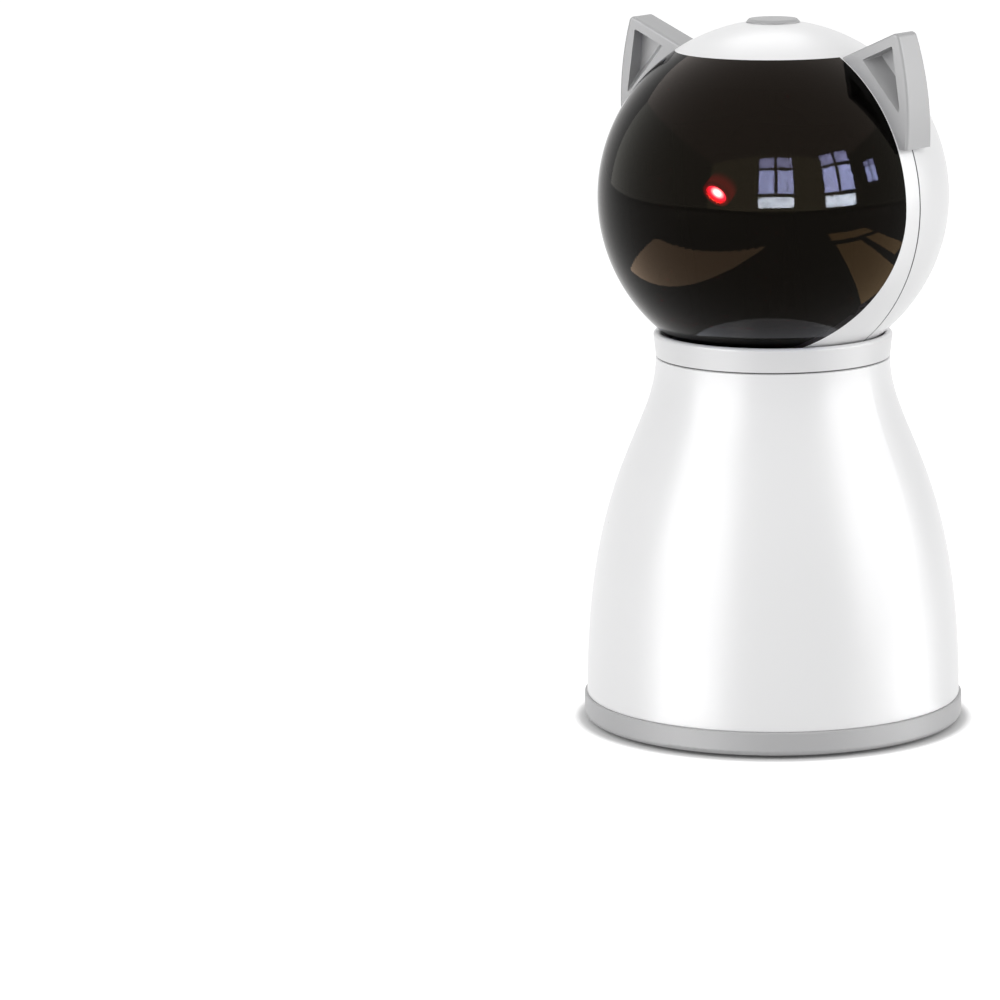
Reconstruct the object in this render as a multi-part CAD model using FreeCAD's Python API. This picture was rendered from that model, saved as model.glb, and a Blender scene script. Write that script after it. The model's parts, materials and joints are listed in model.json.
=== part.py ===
import FreeCAD, Part
import math
import os

Vec = FreeCAD.Vector

# Automatic cat laser toy. Millimetres, +Z up, origin on the floor in the middle of the base.
# The dark face of the head looks along -Y and the charging port along +Y.

# ---- Base and body shell -----------------------------------------------------------------
base_radius = 45.0
base_rim_height = 5.57
base_rim_round = 1.2
base_plate = 2.0
rim_setback = 0.62
shell_height = 81.03
shell_wall = 2.2
neck_radius = 27.7
lower_swell = 54.8
upper_swell = 17.9
seam_chamfer = 0.2
spigot_height = 3.0
spigot_wall = 1.8
fit = 0.15
foot_radius = 4.5
foot_thickness = 1.6
foot_stand = 0.8
foot_inset = 9.0
foot_count = 4
boss_radius = 3.5
boss_inset = 8.4
boss_height = 19.0
pad_height = 2.2
pad_margin = 1.0
web_thickness = 1.6
base_screw_bite = 8.0

# ---- Collar ring -------------------------------------------------------------------------
collar_height = 6.0
collar_flare = 0.54
collar_wall = 1.9
collar_lip_round = 0.7
collar_floor = 2.0
collar_floor_rise = 0.8
collar_seam_height = 0.25
collar_seam_depth = 0.5
skirt_height = 7.0
skirt_wall = 1.8

# ---- Head --------------------------------------------------------------------------------
head_radius = 41.3
head_wall = 2.2
head_gap = 0.64
head_seam_width = 0.4
head_seam_depth = 0.5
head_foot_drop = 1.3
cover_wall = 2.0
cover_edge = 5.2
cover_sweep_radius = 51.0
glue_gap = 0.05
ledge_wall = 1.6
ledge_reach = 3.0
ledge_root = 2.0
cap_depth = 6.96
cap_spigot_depth = 3.2
cap_spigot_wall = 1.6
cap_post_offset = 11.5
cap_post_radius = 2.4
cap_screw_grip = 6.0
head_screw_inset = 2.5
head_screw_angles = (8.0, 172.0, 218.0, 322.0)
head_lug_radius = 3.0
head_lug_depth = 3.0
head_boss_depth = 8.0
shell_boss_inset = 3.5
shell_boss_radius = 2.6
shell_boss_height = 6.0

# ---- Ears: polar points seen from the front, each an elevation and a height over the ball -----
ear_inner_angle = 56.3
ear_tip_angle = 47.2
ear_tip_height = 14.6
ear_bulge_angle = 32.5
ear_bulge_height = 7.2
ear_outer_angle = 18.8
ear_outer_height = 1.85
ear_front = 4.9
ear_front_lean = 4.7
ear_rear = 5.2
ear_rear_lean = 4.9
ear_round = 1.3
ear_edge_round = 0.7
ear_recess_depth = 4.4
ear_recess_draft = 0.4
ear_recess_slope = 2.4
ear_recess_round = 0.3
ear_recess_tip_angle = 45.9
ear_recess_tip_height = 11.3
ear_recess_inner_angle = 50.3
ear_recess_inner_height = 2.9
ear_recess_outer_angle = 28.9
ear_recess_outer_height = 3.2
ear_screw_angle = 37.0
ear_screw_set_back = 2.15
ear_screw_bite = 5.0
ear_rim_rise = 0.9

# ---- Power button ------------------------------------------------------------------------
button_radius = 6.2
button_proud = 0.37
button_chamfer = 0.55
button_clearance = 0.15
button_play = 0.25
button_travel = 0.6
button_flange = 1.4
button_flange_thickness = 1.2
button_wall = 1.6
button_stem_radius = 1.75
switch_drop = 13.2
switch_board_length = 28.0
switch_board_width = 12.0
switch_board_thickness = 1.2
switch_side = 6.0
switch_height = 3.5
nub_radius = 1.6
nub_height = 2.1
nub_proud = 1.2

# ---- Pan drive ---------------------------------------------------------------------------
pressure_angle = 25.0
root_depth_share = 1.25
gear_backlash = 0.16
pan_module = 0.8
pan_gear_teeth = 36
pan_pinion_teeth = 12
pan_face_width = 5.0
hub_radius = 7.0
hub_bore = 3.5
hub_seat_step = 1.0
disc_thickness = 2.2
disc_inset = 0.45
bush_wall = 2.0
bush_length = 9.2
bush_flange = 2.0
bush_flange_thickness = 0.5
running_gap = 0.1
bush_clearance = 0.05
bearing_wall = 2.0
gear_drop = 2.0
retainer_thickness = 1.4
retainer_radius = 9.8
retainer_screw_count = 3
retainer_screw_grip = 6.0
yoke_screw_inset = 3.0
yoke_screw_count = 3
yoke_screw_grip = 5.0
chassis_drop = 4.0
chassis_plate = 2.5
chassis_clearance = 1.4
chassis_boss_height = 10.0
chassis_boss_radius = 3.0
chassis_boss_bite = 1.5
chassis_screw_angles = (30.0, 150.0, 270.0)
stop_radius = 12.4
stop_lug_half_width = 2.3
stop_post_radius = 1.5
stop_overlap = 2.2

# ---- Gear motors, both of the same small flat-sided kind ---------------------------------
motor_width = 12.0
motor_flat = 10.0
gearbox_length = 9.0
can_length = 15.0
can_collar_radius = 2.2
can_collar_length = 1.2
shaft_radius = 1.5
shaft_in_gearbox = 4.0
bracket_wall = 5.4
bracket_side_wall = 1.3
bracket_lip = 1.0
motor_fit = 0.05

# ---- Tilt drive and laser ----------------------------------------------------------------
tilt_module = 0.6
tilt_sector_teeth = 40
tilt_pinion_teeth = 12
tilt_face_width = 3.0
tilt_sector_half_angle = 40.0
tilt_rest_angle = 33.6
pivot_forward = 11.5
pivot_rise = 10.3
trunnion_radius = 1.5
tilt_bush_wall = 1.5
upright_inside = 14.0
upright_thickness = 2.5
upright_foot_half = 8.0
upright_margin = 5.5
yoke_plate = 2.0
plinth_radius = 3.6
plinth_height = 6.0
tilt_screw_inset = 1.5
tilt_screw_grip = 3.5
side_play = 0.3
sector_gap = 1.4
sector_hub_radius = 3.4
sector_screw_grip = 6.0
sector_screw_lip = 0.9
barrel_radius = 3.5
barrel_front = 13.6
barrel_rear = 6.0
lens_radius = 2.6
lens_thickness = 1.4
lens_recess = 0.6
beam_bore = 1.4
carriage_radius = 5.6
carriage_length = 10.0
carriage_shoulder = 3.0
laser_board_thickness = 1.0
driver_half_width = 1.2
driver_half_height = 1.0

# ---- Battery -----------------------------------------------------------------------------
cell_radius = 9.2
cell_length = 65.0
cell_set_forward = 9.0
cell_play = 0.05
cell_edge_round = 0.6
tray_floor = 1.5
tray_wall = 1.6
tray_end_height = 16.0
tray_margin = 0.6
contact_thickness = 0.8
contact_width = 8.0
contact_height = 12.0
strap_width = 8.0
strap_thickness = 1.2
strap_foot_reach = 5.0
strap_foot_height = 4.0

# ---- Main board and charging port --------------------------------------------------------
board_half_width = 20.0
board_front = 8.0
board_clearance = 1.7
board_thickness = 1.6
board_stand = 9.2
board_screw_inset = 4.0
board_screw_bite = 5.0
board_post_radius = 2.6
board_tail_half_width = 8.0
board_tail_margin = 2.2
socket_width = 8.94
socket_height = 3.26
socket_length = 7.35
socket_wall = 0.3
socket_set_back = 0.6
socket_tongue_side = 1.1
socket_tongue_set_back = 0.8
socket_tongue_thickness = 0.7
port_width = 13.0
port_height = 7.5
connector_width = 6.0
connector_depth = 4.5
connector_height = 4.5
connector_pitch = 8.0
board_edge_margin = 0.75
controller_side = 7.0
controller_height = 1.2
charger_length = 5.0
charger_width = 4.0
charger_height = 1.5
coil_side = 5.0
coil_height = 3.0
capacitor_radius = 2.5
capacitor_height = 6.0
# Places on the board, as shares of its half width and of its depth.
controller_place = (-0.2, 0.57)
charger_place = (0.35, 0.68)
coil_place = (0.65, 0.46)
capacitor_place = (-0.65, 0.57)

# ---- Fasteners and wires -----------------------------------------------------------------
large_screw_radius = 1.5
large_head_radius = 2.8
large_head_height = 2.0
small_screw_radius = 1.0
small_head_radius = 1.9
small_head_height = 1.3
tiny_screw_radius = 0.8
tiny_head_radius = 1.4
tiny_head_height = 1.0
screw_slack = 0.25
thread_fit = 0.03
recess_depth = 0.2
pilot_floor = 1.0
thread_end_gap = 1.0
cross_width_share = 0.36
cross_length_share = 1.3
cross_depth_share = 0.55
wire_radius = 1.2
thin_wire_radius = 0.9
wire_clearance = 4.0
harness_set_back = 6.0
arc_share = 0.45
key_half_width = 0.45
key_depth = 1.0
# How far a cutting shape runs past the face it opens, and the room round a part in a plain hole.
overrun = 1.0
hole_margin = 1.0
# Share of a quarter round by which the middle of its arc lies inside the corner.
arc_middle = 1 - math.sqrt(0.5)

# ---- Levels and places worked out from the sizes above ------------------------------------
plate_top = foot_stand + base_plate
shell_foot_z = foot_stand + base_rim_height
shell_foot_radius = base_radius - rim_setback
foot_circle_radius = base_radius - foot_inset
body_boss_circle = shell_foot_radius - boss_inset
body_boss_angles = [45 + 90 * quarter for quarter in range(4)]
body_boss_foot_z = plate_top + pad_height
body_boss_top_z = body_boss_foot_z + boss_height
base_screw_seat_z = foot_stand + large_head_height + recess_depth
base_screw_length = body_boss_foot_z - base_screw_seat_z + base_screw_bite
spigot_radius = shell_foot_radius - shell_wall - fit
spigot_bore = spigot_radius - spigot_wall
neck_z = shell_foot_z + shell_height
neck_bore = neck_radius - shell_wall
rim_z = neck_z + collar_height
collar_radius = neck_radius + collar_flare
collar_bore = collar_radius - collar_wall
collar_edge_z = rim_z - collar_lip_round
floor_top_z = neck_z + collar_floor_rise
floor_low_z = floor_top_z - collar_floor
head_z = collar_edge_z + math.sqrt((head_radius + head_gap) ** 2 - collar_bore ** 2)
head_centre = Vec(0, 0, head_z)
head_foot_z = collar_edge_z - head_foot_drop
head_bore = head_radius - head_wall
head_foot_radius = math.sqrt(head_radius ** 2 - (head_z - head_foot_z) ** 2)
head_foot_bore = math.sqrt(head_bore ** 2 - (head_z - head_foot_z) ** 2)
shell_boss_circle = head_foot_radius - shell_boss_inset
yoke_screw_circle = hub_radius + bush_wall + yoke_screw_inset
yoke_top_z = head_foot_z + yoke_plate
cap_z = head_z + head_radius - cap_depth
disc_low_z = head_foot_z - disc_thickness
bush_top_z = disc_low_z - running_gap
bush_low_z = bush_top_z - bush_length
bush_outer_radius = hub_radius + bush_wall
gear_top_z = bush_low_z - gear_drop
gear_low_z = gear_top_z - pan_face_width
retainer_low_z = gear_low_z - retainer_thickness
chassis_top_z = gear_low_z - chassis_drop
chassis_low_z = chassis_top_z - chassis_plate
chassis_boss_top_z = chassis_top_z + chassis_boss_height
stop_lug_low_z = retainer_low_z - stop_overlap / 2
stop_post_top_z = stop_lug_low_z + stop_overlap
pan_gear_radius = pan_module * pan_gear_teeth / 2
pan_pinion_radius = pan_module * pan_pinion_teeth / 2
pan_shaft = Vec(0, pan_gear_radius + pan_pinion_radius, 0)
tilt_sector_radius = tilt_module * tilt_sector_teeth / 2
tilt_pinion_radius = tilt_module * tilt_pinion_teeth / 2
pivot = Vec(0, -pivot_forward, head_z + pivot_rise)
tilt_shaft = pivot + Vec(0, tilt_sector_radius + tilt_pinion_radius, 0)
upright_outside = upright_inside + upright_thickness
sector_near = upright_outside + sector_gap
sector_far = sector_near + tilt_face_width
cell_axis_z = plate_top + tray_floor + cell_radius
cell_y = -cell_set_forward
tray_half_length = cell_length / 2 + contact_thickness + tray_wall
strap_foot_z = plate_top + strap_foot_height
board_low_z = plate_top + board_stand
board_top_z = board_low_z + board_thickness
port_z = board_top_z + socket_height / 2
connector_top_z = board_top_z + connector_height
connector_xs = [connector_pitch * step for step in (-1, 0, 1)]
connector_y = board_front + connector_depth / 2 + board_edge_margin
switch_board_top_z = head_z + head_radius - switch_drop
switch_board_low_z = switch_board_top_z - switch_board_thickness
switch_top_z = switch_board_top_z + switch_height
nub_top_z = switch_top_z + nub_proud
button_top_z = head_z + head_radius + button_proud
flange_radius = button_radius + button_flange
flange_top_z = head_z + math.sqrt(head_bore ** 2 - flange_radius ** 2) - button_play
flange_low_z = flange_top_z - button_flange_thickness
bush_seat_radius = trunnion_radius + bush_clearance + tilt_bush_wall
lens_front = barrel_front - lens_recess
lens_rear = lens_front - lens_thickness
large_screw = (large_screw_radius, large_head_radius, large_head_height)
small_screw = (small_screw_radius, small_head_radius, small_head_height)
tiny_screw = (tiny_screw_radius, tiny_head_radius, tiny_head_height)


# ---- Shape helpers -----------------------------------------------------------------------
def polar(radius, degrees, z=0.0):
    angle = math.radians(degrees)
    return Vec(radius * math.cos(angle), radius * math.sin(angle), z)


def box(x_low, x_high, y_low, y_high, z_low, z_high):
    return Part.makeBox(x_high - x_low, y_high - y_low, z_high - z_low, Vec(x_low, y_low, z_low))


def post(radius, z_low, z_high, centre=Vec(0, 0, 0)):
    return Part.makeCylinder(radius, z_high - z_low, Vec(centre.x, centre.y, z_low))


def rod(radius, start, end):
    return Part.makeCylinder(radius, (end - start).Length, start, end - start)


def ball(radius):
    return Part.makeSphere(radius, head_centre)


def ball_shell(outer, inner, z_low, z_high):
    slab = post(outer + overrun, z_low, z_high)
    return ball(outer).cut(ball(inner)).common(slab)


def line(start, end):
    return Part.LineSegment(start, end).toShape()


def arc(start, middle, end):
    return Part.Arc(start, middle, end).toShape()


def face_of(edges):
    return Part.Face(Part.Wire(edges))


def polygon_face(points):
    return Part.Face(Part.makePolygon(list(points) + [points[0]]))


def turned(points):
    """Solid of revolution about Z from (radius, z) points."""
    return polygon_face([Vec(r, 0, z) for r, z in points]).revolve(Vec(0, 0, 0), Vec(0, 0, 1), 360)


def joined(first, *others):
    return first.fuse(list(others)).removeSplitter()


def placed(shape, point, direction):
    """Moves a shape made along +Z so that it starts at a point and runs along a direction."""
    moved = shape.copy()
    frame = FreeCAD.Placement(point, FreeCAD.Rotation(Vec(0, 0, 1), direction))
    moved.Placement = frame.multiply(moved.Placement)
    return moved


def screw(size, seat, direction, length):
    """Cross-head screw: seat is the underside of the head, direction the way the shank goes."""
    radius, head_radius_, head_height = size
    half_width = radius * cross_width_share / 2
    half_length = radius * cross_length_share / 2
    depth = head_height * cross_depth_share
    shape = post(radius, 0, length).fuse(post(head_radius_, -head_height, 0))
    for a, b in ((half_width, half_length), (half_length, half_width)):
        shape = shape.cut(box(-a, a, -b, b, -head_height, depth - head_height))
    return placed(shape.removeSplitter(), seat, direction)


def pilot(size, seat, direction, length):
    """Hole that the shank threads into."""
    return placed(post(size[0] + thread_fit, 0, length), seat, direction)


def slack_hole(size, seat, direction, length):
    """Hole that the shank passes through."""
    return placed(post(size[0] + screw_slack, 0, length), seat, direction)


def head_pocket(size, seat, direction, depth):
    """Round pocket that the screw's head drops into, opening away from the shank."""
    return placed(post(size[1] + screw_slack, 0, depth), seat, direction * -1)


def wire_run(points, radius):
    """Wire of straight runs joined by the largest tangent arcs that the runs leave room for."""
    edges = []
    start = points[0]
    for before, corner, after in zip(points, points[1:], points[2:]):
        into = (corner - before).normalize()
        away = (after - corner).normalize()
        reach = arc_share * min((corner - before).Length, (after - corner).Length)
        half_turn = into.getAngle(away) / 2
        inward = (away - into).normalize()
        first = corner - into * reach
        last = corner + away * reach
        edges += [line(start, first), arc(first, corner + inward * bulge(reach, half_turn), last)]
        start = last
    edges.append(line(start, points[-1]))
    section = Part.Wire(Part.makeCircle(radius, points[0], points[1] - points[0]))
    return Part.Wire(edges).makePipeShell([section], True, False)


def bulge(reach, half_turn):
    """Distance from a corner to the middle of its tangent arc."""
    radius = reach / math.tan(half_turn)
    return radius / math.cos(half_turn) - radius


# ---- Gears -------------------------------------------------------------------------------
def involute(angle):
    return math.tan(angle) - angle


def gear_face(teeth, module, tooth_at):
    """Involute gear outline with a tooth centred at the given angle in degrees."""
    pressure = math.radians(pressure_angle)
    pitch_radius = teeth * module / 2
    base_circle = pitch_radius * math.cos(pressure)
    tip_radius = pitch_radius + module
    root_radius = pitch_radius - root_depth_share * module
    flank_radius = max(root_radius, base_circle)
    half_tooth = (math.pi * module / 2 - gear_backlash) / (2 * pitch_radius)

    def half_angle(radius):
        return half_tooth + involute(pressure) - involute(math.acos(min(1.0, base_circle / radius)))

    edges = []
    for tooth in range(teeth):
        middle = math.radians(tooth_at) + 2 * math.pi * tooth / teeth
        following = middle + 2 * math.pi / teeth

        def at(radius, angle):
            return Vec(radius * math.cos(angle), radius * math.sin(angle), 0)

        mean_radius = (flank_radius + tip_radius) / 2
        rise = [at(r, middle - half_angle(r)) for r in (flank_radius, mean_radius, tip_radius)]
        fall = [at(r, middle + half_angle(r)) for r in (tip_radius, mean_radius, flank_radius)]
        root_start = at(root_radius, middle - half_angle(flank_radius))
        root_end = at(root_radius, middle + half_angle(flank_radius))
        next_root = at(root_radius, following - half_angle(flank_radius))
        if root_radius < flank_radius:
            edges.append(line(root_start, rise[0]))
        edges += [arc(*rise), line(rise[2], fall[0]), arc(*fall)]
        if root_radius < flank_radius:
            edges.append(line(fall[2], root_end))
        edges.append(line(root_end, next_root))
    return face_of(edges)


def gear(teeth, module, width, tooth_at, bore):
    blank = gear_face(teeth, module, tooth_at).extrude(Vec(0, 0, width))
    return blank.cut(post(bore, 0, width))


# ---- Body shell --------------------------------------------------------------------------
def swell_curve(inset):
    """Side curve of the body, moved in by a wall, from its foot to its neck."""
    poles = [(shell_foot_radius, shell_foot_z), (shell_foot_radius, shell_foot_z + lower_swell),
             (neck_radius, neck_z - upper_swell), (neck_radius, neck_z)]
    curve = Part.BezierCurve()
    curve.setPoles([Vec(r - inset, 0, z) for r, z in poles])
    return curve


def shell_bore_at(z):
    """Inside radius of the body shell at a height."""
    curve = swell_curve(shell_wall)
    low, high = 0.0, 1.0
    for _ in range(40):
        middle = (low + high) / 2
        if curve.value(middle).z < z:
            low = middle
        else:
            high = middle
    return curve.value(low).x


chassis_circle = shell_bore_at(chassis_boss_top_z) - chassis_boss_bite
chassis_radius = shell_bore_at(chassis_top_z) - chassis_clearance
port_wall_y = shell_bore_at(port_z)
socket_mouth_y = math.sqrt(port_wall_y ** 2 - (port_width / 2) ** 2) - socket_set_back
board_rear = math.sqrt((shell_bore_at(board_top_z) - board_clearance) ** 2 - board_half_width ** 2)


def body_shell():
    inner = swell_curve(shell_wall)
    curve = swell_curve(0)
    foot_bevel = Vec(shell_foot_radius - seam_chamfer, 0, shell_foot_z)
    neck_bevel = Vec(neck_radius - seam_chamfer, 0, neck_z)
    degree = curve.Degree
    curve.segment(seam_chamfer / (degree * lower_swell), 1 - seam_chamfer / (degree * upper_swell))
    edges = [curve.toShape(), line(curve.value(1), neck_bevel),
             line(neck_bevel, inner.value(1)), inner.toShape(),
             line(inner.value(0), foot_bevel), line(foot_bevel, curve.value(0))]
    shape = face_of(edges).revolve(Vec(0, 0, 0), Vec(0, 0, 1), 360)
    web_reach = shell_bore_at(body_boss_top_z) + shell_wall / 2
    web_low_z = shell_foot_z + spigot_height + fit
    for angle in body_boss_angles:
        boss = post(boss_radius, body_boss_foot_z, body_boss_top_z, polar(body_boss_circle, angle))
        web = box(body_boss_circle, web_reach, -web_thickness / 2, web_thickness / 2,
                  web_low_z, body_boss_top_z)
        web.rotate(Vec(0, 0, 0), Vec(0, 0, 1), angle)
        shape = shape.fuse([boss, web])
        hole_foot = polar(body_boss_circle, angle, body_boss_foot_z)
        shape = shape.cut(pilot(large_screw, hole_foot, Vec(0, 0, 1), boss_height - shell_wall))
    for angle in chassis_screw_angles:
        centre = polar(chassis_circle, angle)
        shape = shape.fuse(post(chassis_boss_radius, chassis_top_z, chassis_boss_top_z, centre))
        hole_foot = polar(chassis_circle, angle, chassis_top_z)
        shape = shape.cut(pilot(small_screw, hole_foot, Vec(0, 0, 1), chassis_boss_height - shell_wall))
    return shape.cut(port_hole()).removeSplitter()


def port_hole():
    """Slot with round ends through the back of the body for the charging plug."""
    half_flat = (port_width - port_height) / 2
    far_y = base_radius + overrun
    near_y = board_rear
    ends = [rod(port_height / 2, Vec(x, near_y, port_z), Vec(x, far_y, port_z))
            for x in (-half_flat, half_flat)]
    middle = box(-half_flat, half_flat, near_y, far_y, port_z - port_height / 2, port_z + port_height / 2)
    return middle.fuse(ends)


# ---- Base --------------------------------------------------------------------------------
def foot_places():
    return ring_of_places(foot_circle_radius, foot_count, 0)


def board_post_places():
    rows = (board_front + board_screw_inset, board_rear - board_screw_inset)
    side = board_half_width - board_screw_inset
    return [Vec(x, y, 0) for x in (-side, side) for y in rows]


def strap_screw_places():
    reach = cell_radius + strap_thickness + strap_foot_reach / 2
    return [Vec(0, -cell_set_forward + side * reach, 0) for side in (-1, 1)]


def base_cover():
    spigot_top_z = shell_foot_z + spigot_height
    rounding = base_rim_round
    profile = [line(Vec(0, 0, foot_stand), Vec(base_radius - rounding, 0, foot_stand)),
               arc(Vec(base_radius - rounding, 0, foot_stand),
                   Vec(base_radius - rounding * arc_middle, 0, foot_stand + rounding * arc_middle),
                   Vec(base_radius, 0, foot_stand + rounding))]
    outline = [(base_radius, foot_stand + rounding), (base_radius, shell_foot_z - seam_chamfer),
               (base_radius - seam_chamfer, shell_foot_z), (spigot_radius, shell_foot_z),
               (spigot_radius, spigot_top_z), (spigot_bore, spigot_top_z), (spigot_bore, plate_top),
               (0, plate_top), (0, foot_stand)]
    corners = [Vec(r, 0, z) for r, z in outline]
    profile += [line(start, end) for start, end in zip(corners, corners[1:])]
    shape = face_of(profile).revolve(Vec(0, 0, 0), Vec(0, 0, 1), 360)
    for angle in body_boss_angles:
        pad = post(boss_radius + pad_margin, foot_stand, body_boss_foot_z, polar(body_boss_circle, angle))
        shape = shape.fuse(pad.common(post(spigot_radius, foot_stand, body_boss_foot_z)))
    for place in board_post_places():
        shape = shape.fuse(post(board_post_radius, plate_top, board_low_z, place))
    for place in board_post_places():
        top = Vec(place.x, place.y, board_low_z)
        shape = shape.cut(pilot(small_screw, top, Vec(0, 0, -1), board_stand - recess_depth))
    for place in strap_screw_places():
        top = Vec(place.x, place.y, plate_top)
        shape = shape.cut(pilot(small_screw, top, Vec(0, 0, -1), base_plate - recess_depth))
    for place in foot_places():
        shape = shape.cut(post(foot_radius, foot_stand, foot_thickness, place))
    for angle in body_boss_angles:
        seat = polar(body_boss_circle, angle, base_screw_seat_z)
        shape = shape.cut(head_pocket(large_screw, seat, Vec(0, 0, 1), base_screw_seat_z))
        shape = shape.cut(slack_hole(large_screw, seat, Vec(0, 0, 1), body_boss_foot_z - base_screw_seat_z))
    return shape.removeSplitter()


def base_screws():
    seats = [polar(body_boss_circle, angle, base_screw_seat_z) for angle in body_boss_angles]
    return [screw(large_screw, seat, Vec(0, 0, 1), base_screw_length) for seat in seats]


def rubber_feet():
    return [post(foot_radius, 0, foot_thickness, place) for place in foot_places()]


# ---- Collar and pan bearing --------------------------------------------------------------
def collar_ring():
    lip = collar_lip_round
    bearing = bush_outer_radius + bearing_wall
    bore = bush_outer_radius
    skirt = neck_bore - fit
    skirt_low_z = neck_z - skirt_height
    lip_middle = (collar_radius + collar_bore) / 2
    lip_half = (collar_radius - collar_bore) / 2
    seam = neck_radius - collar_seam_depth
    seam_top_z = neck_z + collar_seam_height
    points = [(skirt, skirt_low_z), (skirt, neck_z), (seam, neck_z), (seam, seam_top_z),
              (neck_radius, seam_top_z), (collar_radius, rim_z - lip)]
    inside = [(collar_bore, collar_edge_z), (collar_bore, floor_top_z), (bore, floor_top_z),
              (bore, bush_low_z), (bearing, bush_low_z), (bearing, floor_low_z),
              (skirt - skirt_wall, floor_low_z), (skirt - skirt_wall, skirt_low_z), (skirt, skirt_low_z)]
    outer = [Vec(r, 0, z) for r, z in points]
    inner = [Vec(r, 0, z) for r, z in inside]
    shoulder = Vec(collar_radius - lip_half * arc_middle, 0, rim_z - lip * arc_middle)
    crown = Vec(lip_middle, 0, rim_z)
    lee = Vec(collar_bore + lip_half * arc_middle, 0, rim_z - lip * arc_middle)
    edges = [line(start, end) for start, end in zip(outer, outer[1:])]
    edges += [arc(outer[-1], shoulder, crown), arc(crown, lee, inner[0])]
    edges += [line(start, end) for start, end in zip(inner, inner[1:])]
    return face_of(edges).revolve(Vec(0, 0, 0), Vec(0, 0, 1), 360)


def pan_bush():
    bore = hub_radius + bush_clearance
    flange_low_z = bush_top_z - bush_flange_thickness
    flange = bush_outer_radius + bush_flange
    return turned([(bore, bush_low_z), (bush_outer_radius, bush_low_z), (bush_outer_radius, flange_low_z),
                   (flange, flange_low_z), (flange, bush_top_z), (bore, bush_top_z)])


def turntable():
    seat_radius = hub_radius - hub_seat_step
    disc_radius = head_foot_radius - disc_inset
    shape = turned([(hub_bore, gear_low_z), (seat_radius, gear_low_z), (seat_radius, gear_top_z),
                    (hub_radius, gear_top_z), (hub_radius, disc_low_z), (disc_radius, disc_low_z),
                    (disc_radius, head_foot_z), (hub_bore, head_foot_z)])
    for place in retainer_screw_places():
        top = Vec(place.x, place.y, gear_low_z)
        shape = shape.cut(pilot(tiny_screw, top, Vec(0, 0, 1), retainer_screw_grip))
    for place in yoke_screw_places() + shell_boss_places():
        seat = Vec(place.x, place.y, disc_low_z + small_head_height)
        shape = shape.cut(head_pocket(small_screw, seat, Vec(0, 0, 1), small_head_height))
        shape = shape.cut(slack_hole(small_screw, seat, Vec(0, 0, 1), disc_thickness))
    return shape


def ring_of_places(circle, count, first_angle):
    return [polar(circle, first_angle + 360.0 * index / count) for index in range(count)]


def retainer_screw_places():
    return ring_of_places((hub_radius - hub_seat_step + hub_bore) / 2, retainer_screw_count, 30)


def yoke_screw_places():
    return ring_of_places(yoke_screw_circle, yoke_screw_count, 90)


def shell_boss_places():
    return [polar(shell_boss_circle, angle) for angle in body_boss_angles]


def hub_retainer():
    shape = post(retainer_radius, retainer_low_z, gear_low_z).cut(post(hub_bore, retainer_low_z, gear_low_z))
    for place in retainer_screw_places():
        seat = Vec(place.x, place.y, retainer_low_z)
        shape = shape.cut(slack_hole(tiny_screw, seat, Vec(0, 0, 1), retainer_thickness))
    return shape


def retainer_screws():
    length = retainer_thickness + retainer_screw_grip - thread_end_gap
    return [screw(tiny_screw, Vec(place.x, place.y, retainer_low_z), Vec(0, 0, 1), length)
            for place in retainer_screw_places()]


# ---- Pan drive ---------------------------------------------------------------------------
def pan_gear():
    shape = gear(pan_gear_teeth, pan_module, pan_face_width, 90.0, hub_radius - hub_seat_step)
    shape.translate(Vec(0, 0, gear_low_z))
    lug = box(-stop_lug_half_width, stop_lug_half_width, stop_radius - stop_post_radius,
              stop_radius + stop_post_radius, stop_lug_low_z, gear_low_z)
    return joined(shape, lug)


def pan_pinion():
    half_pitch = 180.0 / pan_pinion_teeth
    shape = gear(pan_pinion_teeth, pan_module, pan_face_width, 270.0 + half_pitch, shaft_radius)
    shape.translate(pan_shaft + Vec(0, 0, gear_low_z))
    return shape


def pan_motor_shaft():
    return post(shaft_radius, chassis_low_z - shaft_in_gearbox, gear_top_z, pan_shaft)


def gearbox():
    """Gearbox of a small gear motor: output face at z = 0, body below it, long side along X."""
    shape = box(-motor_width / 2, motor_width / 2, -motor_flat / 2, motor_flat / 2, -gearbox_length, 0)
    return shape.cut(post(shaft_radius + bush_clearance, -shaft_in_gearbox, 0))


def motor_can():
    """Can of a small gear motor, under its gearbox."""
    low_z = -gearbox_length - can_length
    flats = box(-motor_width / 2, motor_width / 2, -motor_flat / 2, motor_flat / 2, low_z, -gearbox_length)
    can = post(motor_width / 2, low_z, -gearbox_length).common(flats)
    return joined(can, post(can_collar_radius, low_z - can_collar_length, low_z))


def pan_motor_part(shape):
    moved = shape.copy()
    moved.translate(pan_shaft + Vec(0, 0, chassis_low_z))
    return moved


def pan_bracket():
    half_width = motor_width / 2 + bracket_wall
    half_depth = motor_flat / 2 + bracket_side_wall
    low_z = -gearbox_length - bracket_lip
    shape = box(-half_width, half_width, -half_depth, half_depth, low_z, 0)
    pocket = box(-motor_width / 2 - motor_fit, motor_width / 2 + motor_fit,
                 -motor_flat / 2 - motor_fit, motor_flat / 2 + motor_fit, -gearbox_length, 0)
    throat = post(motor_width / 2 + motor_fit, low_z, -gearbox_length)
    flats = box(-half_width, half_width, -motor_flat / 2 - motor_fit, motor_flat / 2 + motor_fit,
                low_z, -gearbox_length)
    shape = shape.cut(pocket).cut(throat.common(flats))
    for place in bracket_screw_places():
        shape = shape.cut(slack_hole(small_screw, Vec(place.x, 0, low_z), Vec(0, 0, 1), -low_z))
    return pan_motor_part(shape)


def bracket_screw_places():
    reach = motor_width / 2 + bracket_wall / 2
    return [pan_shaft + Vec(side * reach, 0, 0) for side in (-1, 1)]


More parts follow.
